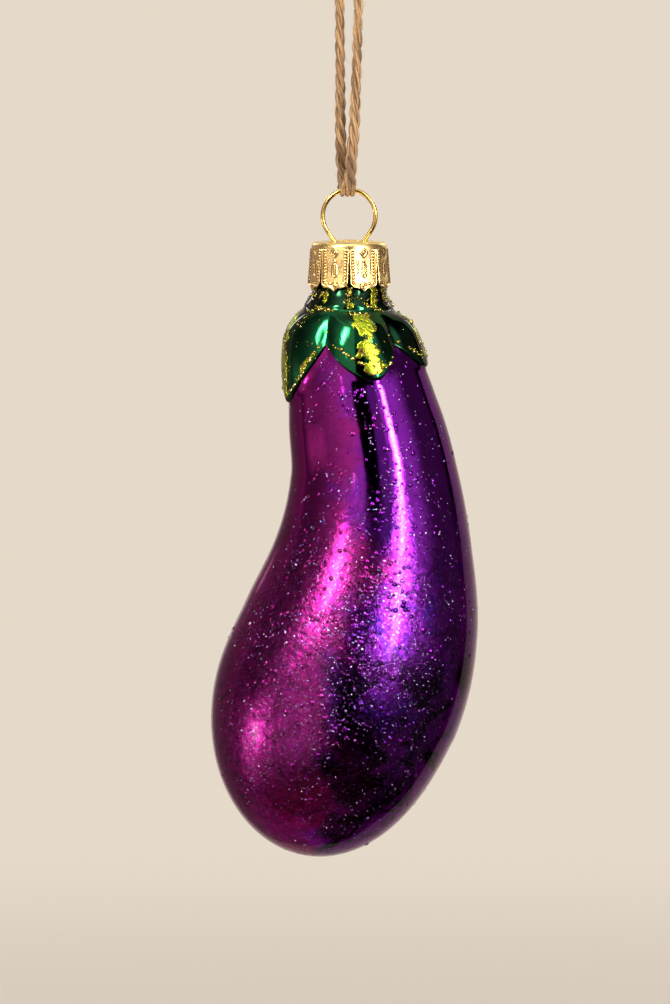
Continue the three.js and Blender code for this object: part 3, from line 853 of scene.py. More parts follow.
class ORNAMENT_OT_stage(bpy.types.Operator):
    """Set up the camera, the lamps, the backdrop and the floor"""

    bl_idname = "ornament.stage"
    bl_label = "Stage"

    # The photograph's frame at the ornament, with its middle in X and Z
    FRAME_HEIGHT = 0.1707
    FRAME_MIDDLE = (-0.0024, -0.09805)
    SENSOR = 0.036
    # The floor's half width, how much darker it is than the backdrop, and where it fades into it
    FLOOR_REACH = 9.0
    FLOOR_SHADE = 0.82
    FLOOR_FADE = (0.10, 0.55)
    # Share of a lamp's face over which its edge fades
    LAMP_FADE = 0.34

    def execute(self, context):
        settings = context.scene.ornament_stage
        middle = Vector((self.FRAME_MIDDLE[0], 0.0, self.FRAME_MIDDLE[1]))
        self.add_camera(context, settings, middle)
        self.add_world(context, settings)
        self.add_floor(context, settings)
        self.add_surround(context, middle)
        self.add_lamps(context, middle)
        return {"FINISHED"}

    def add_camera(self, context, settings, middle):
        """A long lens a little above the ornament."""
        height = settings.camera_height
        away = Vector((0.0, -math.cos(height), math.sin(height)))
        camera = bpy.data.objects.new("camera", bpy.data.cameras.new("camera"))
        context.scene.collection.objects.link(camera)
        camera.location = middle + away * settings.camera_distance
        camera.rotation_euler = away.to_track_quat("Z", "Y").to_euler()
        camera.data.sensor_width = self.SENSOR * 1000
        camera.data.lens = self.SENSOR * 1000 * settings.camera_distance / self.FRAME_HEIGHT
        camera.data.clip_start = 0.05
        camera.data.clip_end = 60
        context.scene.camera = camera

    def add_world(self, context, settings):
        """The backdrop's colour for whatever looks at it, and a plain soft light for the rest."""
        context.scene.view_settings.view_transform = "Standard"
        world = bpy.data.worlds.new("Studio")
        context.scene.world = world
        world.use_nodes = True
        tree = world.node_tree
        tree.nodes.clear()
        path = add_node(tree, "ShaderNodeLightPath")
        seen = math_node(tree, "MAXIMUM", path.outputs["Is Camera Ray"], path.outputs["Is Glossy Ray"])
        seen = math_node(tree, "MAXIMUM", seen, path.outputs["Is Transmission Ray"])
        backdrop = add_node(
            tree, "ShaderNodeBackground", {"Color": (*settings.backdrop, 1.0), "Strength": 1.0}
        )
        fill = add_node(
            tree, "ShaderNodeBackground", {"Color": (1.0, 0.98, 0.95, 1.0), "Strength": settings.fill}
        )
        mixed = add_node(tree, "ShaderNodeMixShader", {0: seen, 1: fill.outputs[0], 2: backdrop.outputs[0]})
        output = add_node(tree, "ShaderNodeOutputWorld")
        tree.links.new(mixed.outputs[0], output.inputs["Surface"])

    def add_floor(self, context, settings):
        """A pale floor that runs out into the backdrop's colour."""
        level = cad_box[0].z - settings.floor_drop
        corners = [
            (x * self.FLOOR_REACH, y * self.FLOOR_REACH, level)
            for x, y in ((-1, -1), (1, -1), (1, 1), (-1, 1))
        ]
        floor = bpy.data.objects.new("floor", build_mesh("floor", corners, [(0, 1, 2, 3)]))
        context.scene.collection.objects.link(floor)
        material, tree, shader = new_material("Pale floor")
        shader.inputs["Base Color"].default_value = (*scaled(settings.backdrop, self.FLOOR_SHADE), 1.0)
        shader.inputs["Roughness"].default_value = 0.9
        place = add_node(tree, "ShaderNodeTexCoord").outputs["Object"]
        flat = add_node(tree, "ShaderNodeVectorMath", {0: place, 1: (1, 1, 0)}, operation="MULTIPLY")
        far = add_node(tree, "ShaderNodeVectorMath", {0: flat.outputs[0]}, operation="LENGTH")
        fade = rise(tree, far.outputs["Value"], *self.FLOOR_FADE)
        glow = add_node(tree, "ShaderNodeEmission", {"Color": (*settings.backdrop, 1.0), "Strength": 1.0})
        mixed = add_node(tree, "ShaderNodeMixShader", {0: fade, 1: shader.outputs[0], 2: glow.outputs[0]})
        tree.links.new(mixed.outputs[0], tree.nodes["Material Output"].inputs["Surface"])
        floor.data.materials.append(material)
        floor.visible_glossy = False
        floor.visible_diffuse = False

    # Soft windows of the studio's dark side, in degrees of azimuth and elevation from the ornament: the left
    # and right edges, how soft each is, the low and high edges, how soft each is, and the colour.
    WINDOWS = (
        (-114, -13, 8, 2, -46, 64, 26, 4, (0.20, 0.17, 0.185)),
        (-55, -13, 70, 2, -30, 64, 24, 4, (1.25, 1.10, 1.20)),
        (-52, -18, 16, 10, 19, 62, 14, 4, (0.35, 0.30, 0.30)),
        (-100, -66, 16, 14, -34, 0, 16, 14, (0.85, 0.60, 0.68)),
        (-82, -75, 5, 5, -17, -8.5, 5, 3, (26.0, 24.0, 25.0)),
        (-41.5, -35.5, 3, 3, 24.2, 48, 2.4, 10, (34.0, 33.5, 33.0)),
        (-30, -27, 2, 2, 13.3, 14.6, 1.0, 1.0, (16.0, 15.5, 15.0)),
        (32, 38, 3, 3, 5, 42, 8, 10, (34.0, 34.5, 36.0)),
        (-15, 11, 3, 3, 24, 64, 8, 4, (0.45, 0.40, 0.46)),
        (9, 27, 3, 3, 4, 64, 8, 4, (0.50, 0.46, 0.60)),
        (24, 64, 5, 30, -11, 64, 18, 4, (1.45, 1.20, 1.60)),
        (46, 116, 14, 10, -44, 40, 20, 20, (0.18, 0.13, 0.16)),
        (-112, 70, 30, 40, -88, -44, 2, 18, (0.24, 0.06, 0.10)),
        (-200, 200, 4, 4, -89, -66, 2, 12, (0.14, 0.04, 0.07)),
        (-200, -100, 4, 20, -85, -42, 2, 20, (0.50, 0.24, 0.42)),
        (-200, -110, 4, 6, -44, 60, 14, 8, (0.38, 0.28, 0.31)),
        (-200, 200, 4, 4, 58, 95, 8, 4, (0.90, 0.88, 0.86)),
    )
    UNLIT = (0.004, 0.003, 0.005)
    SURROUND_RADIUS = 1.4
    # Where the shell ends on each side, in degrees from straight in front
    SHELL_RIGHT = 126
    SHELL_LEFT = -158

    def add_surround(self, context, middle):
        """The dark side of the studio, which only mirrors see: a shell that is open behind the ornament."""
        rows, columns = 61, 121
        elevation = np.linspace(-88, 88, rows)[:, None]
        shut = smoothstep(52, 66, np.abs(elevation))
        right = self.SHELL_RIGHT - 0.12 * elevation + (180 - self.SHELL_RIGHT + 0.12 * elevation) * shut
        left = self.SHELL_LEFT - (180 + self.SHELL_LEFT) * shut
        azimuth = left + (right - left) * np.linspace(0, 1, columns)[None, :]
        turned, raised = np.radians(azimuth), np.radians(elevation)
        points = self.SURROUND_RADIUS * np.stack(
            [
                np.sin(turned) * np.cos(raised),
                -np.cos(turned) * np.cos(raised),
                np.sin(raised) + 0 * turned,
            ],
            axis=-1,
        ).reshape(-1, 3)
        faces = grid_faces(rows, columns, closed=False)
        surround = bpy.data.objects.new("surround", build_mesh("surround", points, faces))
        surround.location = middle
        context.scene.collection.objects.link(surround)
        material, tree, shader = new_material("Dark studio")
        tree.nodes.remove(shader)
        glow = add_node(tree, "ShaderNodeEmission", {"Color": self.window_light(tree), "Strength": 1.0})
        tree.links.new(glow.outputs[0], tree.nodes["Material Output"].inputs["Surface"])
        surround.data.materials.append(material)
        for ray in ("camera", "diffuse", "transmission", "volume_scatter", "shadow"):
            setattr(surround, f"visible_{ray}", False)

    def window_light(self, tree):
        """The light of all the windows in each direction from the ornament."""
        place = add_node(tree, "ShaderNodeTexCoord").outputs["Object"]
        axes = add_node(tree, "ShaderNodeSeparateXYZ", {0: place})
        ahead = times(tree, axes.outputs["Y"], -1.0)
        turn = math_node(tree, "ARCTAN2", axes.outputs["X"], ahead)
        turn = math_node(tree, "DEGREES", turn)
        height = math_node(tree, "DIVIDE", axes.outputs["Z"], self.SURROUND_RADIUS)
        height = math_node(tree, "DEGREES", math_node(tree, "ARCSINE", height))
        light = self.UNLIT
        for left, right, soft_left, soft_right, low, high, soft_low, soft_high, colour in self.WINDOWS:
            mask = self.past_edge(tree, turn, left, soft_left)
            for value, edge, soft in ((turn, right, soft_right), (height, high, soft_high)):
                mask = times(tree, mask, rest_of(tree, self.past_edge(tree, value, edge, soft)))
            mask = times(tree, mask, self.past_edge(tree, height, low, soft_low))
            glow = add_node(tree, "ShaderNodeVectorMath", {0: colour, "Scale": mask}, operation="SCALE")
            both = add_node(tree, "ShaderNodeVectorMath", {0: glow.outputs[0], 1: light}, operation="ADD")
            light = both.outputs[0]
        return light

    def past_edge(self, tree, value, edge, soft):
        """0 before a window's edge and 1 past it."""
        return rise(tree, value, edge - soft / 2, edge + soft / 2)

    # Name, azimuth, elevation, distance, width and height in metres, radiance and colour
    LAMPS = (
        ("right strip", 35, 12, 1.0, 0.18, 0.56, 36.0, (0.94, 0.95, 1.0)),
        ("left strip", -37.5, 40, 1.0, 0.25, 0.52, 26.0, (1.0, 0.97, 0.95)),
        ("overhead panel", 0, 74, 1.0, 0.60, 0.45, 3.0, (1.0, 1.0, 1.0)),
        ("back left strip", -145, 24, 1.0, 0.14, 0.50, 8.0, (1.0, 0.97, 0.94)),
        ("back right strip", 145, 24, 1.0, 0.14, 0.50, 8.0, (0.95, 0.97, 1.0)),
    )

    def add_lamps(self, context, middle):
        """Upright strips in front, a panel overhead and two soft strips behind."""
        for name, azimuth, elevation, distance, wide, tall, radiance, colour in self.LAMPS:
            turned, raised = math.radians(azimuth), math.radians(elevation)
            away = Vector(
                (
                    math.sin(turned) * math.cos(raised),
                    -math.cos(turned) * math.cos(raised),
                    math.sin(raised),
                )
            )
            light = bpy.data.lights.new(name, "AREA")
            light.shape = "RECTANGLE"
            light.size = wide
            light.size_y = tall
            light.energy = radiance * math.pi * wide * tall
            light.color = colour
            self.soften(light)
            lamp = bpy.data.objects.new(name, light)
            context.scene.collection.objects.link(lamp)
            lamp.location = middle + away * distance
            lamp.rotation_euler = away.to_track_quat("Z", "Y").to_euler()
            lamp.visible_camera = False

    def soften(self, light):
        """Lets a lamp's face fade out towards its edges, as cloth in front of it does."""
        light.use_nodes = True
        tree = light.node_tree
        place = add_node(tree, "ShaderNodeNewGeometry").outputs["Parametric"]
        across = add_node(tree, "ShaderNodeSeparateXYZ", {0: place})
        face = 1.0
        for axis in ("X", "Y"):
            near = math_node(tree, "MINIMUM", across.outputs[axis], rest_of(tree, across.outputs[axis]))
            face = times(tree, face, rise(tree, near, 0.0, self.LAMP_FADE))
        tree.links.new(face, tree.nodes["Emission"].inputs["Strength"])


def strand_line(route, side):
    """A strand's middle line as it is seen: it bends in under the ring's wire, then follows its route."""
    ends = [
        (0.05 * MM, -1.08 * MM, -44.6 * MM),
        (0.22 * MM, -1.40 * MM, -43.5 * MM),
    ]
    if side > 0:
        ends = [(-1.10 * MM, -y, z) for _, y, z in ends]
    return resample(ends + list(route[1:]), 0.4 * MM)


class ORNAMENT_OT_twine(bpy.types.Operator):
    """Spin the two strands of the jute loop"""

    bl_idname = "ornament.twine"
    bl_label = "Twine Strands"

    # How much looser the twine is at the ring, and how much painted shade darkens it there
    LOOSENED = 0.34
    RING_SHADE = 0.32

    def execute(self, context):
        settings = context.scene.ornament_twine
        jute = bpy.data.materials.get("Jute fibre") or jute_fibre(settings)
        strands = (
            ("twine_front_strand", "twine_front", FRONT_STRAND, -1, 11),
            ("twine_back_strand", "twine_back", BACK_STRAND, 1, 12),
        )
        for name, node, route, side, seed in strands:
            random = np.random.default_rng(seed)
            line = strand_line(route, side)
            points, faces, tones = [], [], []
            thick = 1 + self.LOOSENED * (1 - smoothstep(2 * MM, 24 * MM, line[:, 2] - line[0][2]))
            spin_strand(settings, line, random, points, faces, tones, thick)
            add_hairs(settings, line, random, settings.hairs, points, faces, tones)
            strand = add_piece(name, np.vstack(points), faces, jute, "twine")
            # Painted shade: the tones are lowered near the ring.
            varied_by_place = self.RING_SHADE * (1 - smoothstep(2 * MM, 9 * MM, np.vstack(points)[:, 2] - line[0][2]))
            set_tone(strand, np.clip(np.concatenate(tones) - varied_by_place, 0, 1))
            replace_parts(strand, node)
        return {"FINISHED"}


FIBRE_SIDES = 6
HAIR_SIDES = 3
# A ply's radius as a share of the twine's diameter
PLY_SHARE = 0.245


def spin_ply(settings, middle, radius, random, points, faces, tones):
    """One ply of the twine round its middle line, spun from bundles of fibre."""
    radius = np.broadcast_to(radius, (len(middle),))
    core = tube(middle, radius * 0.80, FIBRE_SIDES, points, faces)
    # The core takes a dark tone: painted shade where it shows between the bundles.
    tones.append(np.full(len(core), 0.1))
    for bundle in range(settings.bundles):
        size_here = random.uniform(0.24, 0.36)
        path = wound(
            middle,
            radius * (1 - size_here * random.uniform(0.85, 1.1)),
            settings.lay * random.uniform(2.2, 3.2),
            2 * math.pi * (bundle + random.uniform(-0.25, 0.25)) / settings.bundles,
        )
        wobble = 1 + 0.16 * np.sin(np.linspace(0, random.uniform(10, 30), len(path)) + random.uniform(0, 6))
        tube(path, radius * size_here * wobble, FIBRE_SIDES, points, faces)
        shade = random.uniform(0.1, 1.0)
        streak = 0.18 * np.sin(np.linspace(0, random.uniform(5, 20), len(path)) + random.uniform(0, 6))
        tones.append(np.clip(np.repeat(shade + streak, FIBRE_SIDES), 0, 1))


def spin_strand(settings, line, random, points, faces, tones, thick=1.0):
    """Plies laid round a line."""
    ply_radius = settings.diameter * PLY_SHARE
    lay_radius = (settings.diameter / 2 - ply_radius) * np.broadcast_to(thick, (len(line),))
    for ply in range(settings.plies):
        turn = 2 * math.pi * ply / settings.plies + 0.5
        middle = wound(line, lay_radius, -settings.lay, turn)
        spin_ply(settings, middle, ply_radius * np.sqrt(thick), random, points, faces, tones)


def add_hairs(settings, line, random, number, points, faces, tones, reach=1.0):
    """Loose fibres that stand off a strand and curl along it."""
    first, second = frames_along(line)
    tangents = np.gradient(line, axis=0)
    tangents /= np.linalg.norm(tangents, axis=1, keepdims=True)
    for _ in range(number):
        k = random.integers(2, len(line) - 2)
        angle = random.uniform(0, 2 * math.pi)
        out = first[k] * math.cos(angle) + second[k] * math.sin(angle)
        side = np.cross(tangents[k], out)
        way = random.choice([-1, 1]) * tangents[k]
        length = random.uniform(0.7, 2.6) * MM * reach
        lift = random.uniform(0.10, 0.55)
        curl = random.uniform(-0.5, 0.5)
        t = np.linspace(0, 1, 7)[:, None]
        path = line[k] + out * settings.diameter * 0.40 + length * (
            way * t * (1 - lift * 0.5) + out * (lift * t**1.3 - 0.25 * lift * t**3) + side * curl * t**2
        )
        hair = tube(path, np.linspace(0.026, 0.012, 7) * MM, HAIR_SIDES, points, faces)
        tones.append(np.full(len(hair), random.uniform(0.4, 1.0)))


class ORNAMENT_OT_knot(bpy.types.Operator):
    bl_idname = "ornament.knot"
    bl_label = "Knot And Bight"

    BIGHT_RADIUS = 0.86 * MM
    PLY_PITCH = 0.84
    WRAP_RADIUS = 1.42 * MM
    WRAP_TURNS = 1.7
    TAIL_LEAN = math.radians(24)
    FRAYED_FIBRES = 46
    # Loose fibres on the squeezed turn, round the knot and on each tail
    BIGHT_HAIRS = 12
    KNOT_HAIRS = 40
    TAIL_HAIRS = 24

    def execute(self, context):
        settings = context.scene.ornament_twine
        jute = bpy.data.materials["Jute fibre"]
        bight = self.add_bight(settings, jute)
        knot = self.add_knot(settings, jute)
        return {"FINISHED"}

    def add_bight(self, settings, jute):
        """The turn of twine that the ring's wire squeezes flat."""
        random = np.random.default_rng(21)
        low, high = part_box("twine_bight")
        centre = (low.x + high.x) / 2
        angle = np.linspace(math.pi, 2 * math.pi, 19)
        height = RING_LEVEL + self.BIGHT_RADIUS * np.sin(angle)
        curve = np.stack([0 * angle, self.BIGHT_RADIUS * np.cos(angle), height], axis=1)
        front = np.array(
            [
                (0, -1.42 * MM, -43.4 * MM),
                (0, -1.22 * MM, -44.1 * MM),
                (0, -1.0 * MM, -44.5 * MM),
            ]
        )
        line = resample(np.vstack([front, curve, (front * (1, -1, 1))[::-1]]), 0.12 * MM)
        along = np.linspace(0, 1, len(line))
        pinch = 1 - 0.22 * np.sin(math.pi * along) ** 2
        points, faces, tones = [], [], []
        for ply in (-1, 0, 1):
            middle = line.copy()
            slant = 0.30 * (1 - 2 * along)
            aside = ply * self.PLY_PITCH * (0.80 + 0.20 * np.sin(math.pi * along))
            middle[:, 0] += centre + MM * (aside + slant)
            spin_ply(settings, middle, 0.50 * MM * pinch, random, points, faces, tones)
        line[:, 0] += centre
        add_hairs(settings, line, random, self.BIGHT_HAIRS, points, faces, tones, 0.5)
        bight = add_piece("twine_squeezed_turn", np.vstack(points), faces, jute, "twine")
        set_tone(bight, np.concatenate(tones))
        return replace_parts(bight, "twine_bight")

    def add_knot(self, settings, jute):
        """Two turns of twine round the strands, with frayed tails."""
        random = np.random.default_rng(22)
        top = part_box("twine_knot")[1].z
        points, faces, tones = [], [], []
        angle = np.linspace(-0.4, self.WRAP_TURNS * 2 * math.pi, 80)
        share_up = np.linspace(0, 1, 80)
        wrap = np.stack(
            [
                self.WRAP_RADIUS * 1.15 * np.cos(angle),
                self.WRAP_RADIUS * 0.85 * np.sin(angle),
                0.95 * MM + 2.2 * MM * share_up + 0.35 * MM * np.cos(angle),
            ],
            axis=1,
        )
        spin_strand(settings, wrap, random, points, faces, tones)
        add_hairs(settings, wrap, random, self.KNOT_HAIRS, points, faces, tones, 0.7)
        for side in (-1, 1):
            lean = np.array((math.sin(self.TAIL_LEAN) * side, 0.0, math.cos(self.TAIL_LEAN)))
            foot = np.array((side * 1.0 * MM, 0.0, 2.1 * MM))
            length = (top - foot[2]) / math.cos(self.TAIL_LEAN) - 1.2 * MM
            chosen = [
                np.array((side * 1.5 * MM, 0.0, 0.35 * MM)),
                foot - (0, 0, 0.6 * MM),
                foot + lean * 1.6 * MM,
                foot + lean * length * 0.6 + (0, 0.25 * MM * side, 0),
                foot + lean * length,
            ]
            tail = resample(chosen, 0.4 * MM)
            spin_strand(settings, tail, random, points, faces, tones)
            add_hairs(settings, tail, random, self.TAIL_HAIRS, points, faces, tones, 0.8)
            for _ in range(self.FRAYED_FIBRES):
                spread = random.normal(0, 0.33, 3) * (1, 1, 0.2)
                t = np.linspace(0, 1, 6)[:, None]
                start = tail[-3] + random.normal(0, 0.25, 3) * MM * (1, 1, 0.3)
                path = start + (lean * t + spread * t**1.6 * 0.8) * random.uniform(1.2, 2.6) * MM
                hair = tube(path, np.linspace(0.05, 0.02, 6) * MM, 4, points, faces)
                tones.append(np.full(len(hair), random.uniform(0.3, 1.0)))
        knot = add_piece("twine_overhand_knot", np.vstack(points), faces, jute, "twine")
        set_tone(knot, np.concatenate(tones))
        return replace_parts(knot, "twine_knot")


class ORNAMENT_OT_hanger(bpy.types.Operator):
    """Bend the wire hanger"""

    bl_idname = "ornament.hanger"
    bl_label = "Wire Hanger"

    RING_RADIUS = 4.48 * MM
    RING_MIDDLE_HEIGHT = 4.35 * MM
    RING_OPENS_AT = 34.5
    LEG_SPREAD = 3.7 * MM
    LEG_DEPTH = 9.5 * MM
    LEG_KINK_DEPTH = 0.6 * MM

    def execute(self, context):
        settings = context.scene.ornament_metal
        brass = polished_gold("Brass wire", settings.brass, 0.14, 9.0)
        opening = math.radians(self.RING_OPENS_AT)
        turn = np.linspace(-opening, math.pi + opening, 120)
        ring = np.stack(
            [
                self.RING_RADIUS * np.cos(turn),
                0 * turn,
                self.RING_MIDDLE_HEIGHT + self.RING_RADIUS * np.sin(turn),
            ],
            axis=1,
        )
        run = (ring[0][2] + self.LEG_KINK_DEPTH) / math.cos(opening)
        kink = ring[0] - np.array((math.sin(opening), 0, math.cos(opening))) * run
        end = np.array((self.LEG_SPREAD, 0, -self.LEG_DEPTH))
        leg = np.vstack([np.linspace(end, kink, 24), np.linspace(kink, ring[0], 14)[1:-1]])
        for _ in range(6):
            leg[1:-1] = (leg[:-2] + 2 * leg[1:-1] + leg[2:]) / 4
        line = np.vstack([leg, ring, leg[::-1] * (-1, 1, 1)])
        line[:, 2] += CAP_TOP
        radius = np.full(len(line), settings.wire / 2)
        radius[[0, -1]] *= 0.72
        points, faces = [], []
        tube(line, radius, 20, points, faces)
        wire = add_piece("wire_ring", np.vstack(points), faces, brass, "hanger")
        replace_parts(wire, "hanger_wire")
        return {"FINISHED"}


class ORNAMENT_OT_cap(bpy.types.Operator):
    """Press the crown cap with its eight petals"""

    bl_idname = "ornament.cap"
    bl_label = "Crown Cap"

    PETALS = 8
    COLUMNS = 50
    SLIT_START = 0.95 * MM
    SLIT_WIDTH = 0.62 * MM
    SLIT_TAPER = 0.36 * MM
    FLATNESS = 0.55
    POINT_LENGTH = 1.65 * MM
    POINT_WIDTH = 3.0 * MM
    SHOULDER_ROUNDING = 0.85 * MM
    HOLE_PLACE = 2.35 * MM
    HOLE_RADIUS = 0.52 * MM
    BOSS_BEADS = 16
    # The bead rows along a petal's edge, in millimetres: how far in they lie, and a bead's radius
    BEAD_INSET = 0.56
    BEAD_RADIUS = 0.19

    def execute(self, context):
        settings = context.scene.ornament_metal
        gold = polished_gold("Polished gold", settings.gold, 0.26, 6.0)
        points, faces, recess_shades = self.petal_sheets(settings)
        cap = add_piece("crown_cap_pressing", points, faces, gold, "cap")
        set_tone(cap, recess_shades)
        self.weld(cap)
        self.open_holes(cap)
        sheet = cap.modifiers.new("Sheet", "SOLIDIFY")
        sheet.thickness = settings.sheet
        sheet.offset = -1
        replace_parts(cap, "crown_cap")
        return {"FINISHED"}

    def profile(self, run):
        """Radius and drop under the top, at a run outwards over the cap from its middle."""
        slope = (CAP_RIM_RADIUS - CAP_TOP_RADIUS) / (CAP_HEIGHT - CAP_EDGE_ROUNDING)
        angle = np.clip((run - CAP_FLAT) / CAP_EDGE_ROUNDING, 0, math.pi / 2)
        past = np.maximum(run - CAP_FLAT - CAP_BEND, 0)
        radius = np.minimum(run, CAP_FLAT) + CAP_EDGE_ROUNDING * np.sin(angle) + past * slope
        drop = CAP_EDGE_ROUNDING * (1 - np.cos(angle)) + past
        return radius, drop

    def half_width(self, drop):
        """Half a petal's width at a drop under the top, and half of its whole sector's width."""
        pitch = math.pi * CAP_RIM_RADIUS / self.PETALS
        narrowing = self.SLIT_TAPER * (1 - smoothstep(self.SLIT_START, CAP_HEIGHT - self.POINT_LENGTH, drop))
        full = pitch - (self.SLIT_WIDTH - narrowing) / 2
        point_half = self.POINT_WIDTH / 2
        shoulder = CAP_HEIGHT - self.POINT_LENGTH
        corner = shoulder + self.SHOULDER_ROUNDING
        t = 1 - np.sqrt(np.clip((corner - drop) / self.SHOULDER_ROUNDING, 0, 1))
        rounded = full * (1 - t**2) + point_half * t**2
        t = np.sqrt(np.clip((drop - corner) / (CAP_HEIGHT - corner), 0, 1))
        point = point_half * (1 - t) ** 2 + t * (1 - t) * MM
        width = np.where(drop < shoulder, full, np.where(drop < corner, rounded, point))
        return np.where(drop <= self.SLIT_START, pitch, width), pitch

    def petal_outline(self):
        """Points of half of a petal's outline in millimetres, with the run along it from the slit's start."""
        drop = np.linspace(self.SLIT_START + 1e-9, CAP_HEIGHT, 500)
        half = self.half_width(drop)[0]
        line = np.stack([half, drop], axis=1) / MM
        return line, run_along(line)

    def petal_sheets(self, settings):
        """Points, faces and tones of painted shade in the recesses, of all sectors, from the middle of the
        top to each petal's tip.
        """
        skirt = CAP_HEIGHT - CAP_EDGE_ROUNDING
        slit = self.SLIT_START - CAP_EDGE_ROUNDING
        runs = np.concatenate(
            [
                np.linspace(0.0, 0.9 * MM, 4)[1:],
                np.linspace(0.9 * MM, 2.1 * MM, 12)[1:],
                np.linspace(2.1 * MM, 3.1 * MM, 9)[1:],
                np.linspace(3.1 * MM, CAP_FLAT, 6)[1:],
                CAP_FLAT + np.linspace(0, CAP_BEND, 7)[1:],
                CAP_FLAT + CAP_BEND + np.linspace(0, slit, 5)[1:],
                CAP_FLAT + CAP_BEND + np.linspace(slit + 0.03 * MM, skirt, 80),
            ]
        )
        radius, drop = self.profile(runs)
        half, pitch = self.half_width(drop)
        across = np.linspace(-1, 1, self.COLUMNS + 1)
        spread = (across[None, :] * (half / pitch)[:, None]) * math.pi / self.PETALS
        x_mm = (across[None, :] * half[:, None]) / MM
        y_mm = np.broadcast_to((drop / MM)[:, None], x_mm.shape)
        height = self.emboss(settings, x_mm, y_mm)
        smooth = height.copy()
        for _ in range(10):
            smooth[1:-1] = (smooth[:-2] + 2 * smooth[1:-1] + smooth[2:]) / 4
            smooth[:, 1:-1] = (smooth[:, :-2] + 2 * smooth[:, 1:-1] + smooth[:, 2:]) / 4
        # Painted shade: the tone rises where the pattern lies below its blurred self, beside its raised
        # features.
        recess_shade = np.clip((smooth - height) * 3.6, 0, 1) * smoothstep(0.7, 1.1, y_mm)
        height = height * settings.emboss + self.rosette(runs)[:, None]
        slope = np.clip((runs - CAP_FLAT) / CAP_BEND, 0, 1)[:, None] * math.pi / 2
        facet = np.cos(math.pi / self.PETALS) / np.cos(spread)
        flattened = self.FLATNESS * smoothstep(self.SLIT_START, 4 * MM, drop)[:, None]
        skirt_radius = radius[:, None] * (1 - flattened * (1 - facet))
        all_points, all_faces = [], []
        for petal in range(self.PETALS):
            turn = spread + 2 * math.pi * (petal + 0.5) / self.PETALS
            lift = height + self.boss_beads(runs, turn)
            r = skirt_radius + lift * np.sin(slope)
            z = CAP_TOP - drop[:, None] + lift * np.cos(slope)
            block = np.stack([r * np.sin(turn), -r * np.cos(turn), z], axis=-1)
            start = len(all_points) * block.shape[0] * block.shape[1]
            all_points.append(block.reshape(-1, 3))
            all_faces += grid_faces(len(runs), self.COLUMNS + 1, start, closed=False)
        points = np.vstack(all_points)
        top = np.array([[0, 0, CAP_TOP + float(height[0][0])]])
        hub = len(points)
        per = len(runs) * (self.COLUMNS + 1)
        for petal in range(self.PETALS):
            all_faces += [(hub, petal * per + k, petal * per + k + 1) for k in range(self.COLUMNS)]
        tones = np.concatenate([np.tile(recess_shade.reshape(-1), self.PETALS), [0.0]])
        return np.vstack([points, top]), all_faces, tones

    def rosette(self, runs):
        """The boss in the middle of the top, and a ring pressed round it."""
        r = runs / MM
        boss = 0.30 * (1 - smoothstep(0.95, 1.25, r)) + 0.08 * bell(r, 0.0, 0.45)
        ring = 0.08 * bell(r, 4.6, 0.22)
        return (boss + ring) * MM

    def boss_beads(self, runs, turn):
        """A ring of beads round the boss, as a height by direction."""
        r = (runs / MM)[:, None]
        wave = 0.5 + 0.5 * np.cos(turn * self.BOSS_BEADS)
        return 0.36 * MM * bell(r, 1.5, 0.26) * wave**0.7

    def emboss(self, settings, x, y):
        """A petal's pressed pattern, from 0 to about 1, at millimetres off its middle and under the top."""
        outline, run = self.petal_outline()
        flat_x, flat_y = np.abs(x).reshape(-1), y.reshape(-1)
        distance = np.empty(len(flat_x))
        along = np.empty(len(flat_x))
        for k in range(0, len(flat_x), 2000):
            part = slice(k, k + 2000)
            away = np.hypot(
                flat_x[part, None] - outline[None, :, 0],
                flat_y[part, None] - outline[None, :, 1],
            )
            nearest = np.argmin(away, axis=1)
            distance[part] = away[np.arange(len(nearest)), nearest]
            along[part] = run[nearest]
        distance = distance.reshape(x.shape)
        along = along.reshape(x.shape)
        on_petal = smoothstep(0.72, 0.95, y)
        rim = bell(distance, 0.0, 0.20) * smoothstep(0.95, 1.2, y)
        pitch = settings.bead_pitch / MM
        pitch = run[-1] / round(run[-1] / pitch)
        row = (along / pitch) % 1.0 - 0.5
        beads = knob(row * pitch, distance - self.BEAD_INSET, self.BEAD_RADIUS)
        beads *= smoothstep(1.0, 1.15, y)
        lozenge = np.abs(x) / 0.62 + np.abs(y - 1.62) / 0.74
        stud = 0.9 * np.sqrt(np.clip(1 - (lozenge / 0.42) ** 2, 0, 1))
        diamond = np.maximum(bell(lozenge, 1.0, 0.20), stud)
        capsule = np.hypot(x, y - np.clip(y, 3.9, 5.3))
        pin = bell(capsule, 0.36, 0.12)
        head = knob(x, y - 3.1, 0.24)
        lead = bell(x, 0.0, 0.10) * smoothstep(3.75, 3.95, y) * (1 - smoothstep(5.2, 5.4, y)) * 0.55
        rails = bell(np.abs(x), 1.17, 0.12) * smoothstep(2.6, 3.0, y) * (1 - smoothstep(4.9, 5.3, y)) * 0.6
        foot = knob(x, y - 6.85, 0.21)
        return on_petal * np.maximum.reduce([rim, beads, diamond, pin, head, lead, rails, foot])

    def weld(self, cap):
        """Joins the sectors where they meet."""
        mesh = bmesh.new()
        mesh.from_mesh(cap.data)
        bmesh.ops.remove_doubles(mesh, verts=mesh.verts, dist=2e-6)
        bmesh.ops.recalc_face_normals(mesh, faces=mesh.faces)
        mesh.to_mesh(cap.data)
        mesh.free()

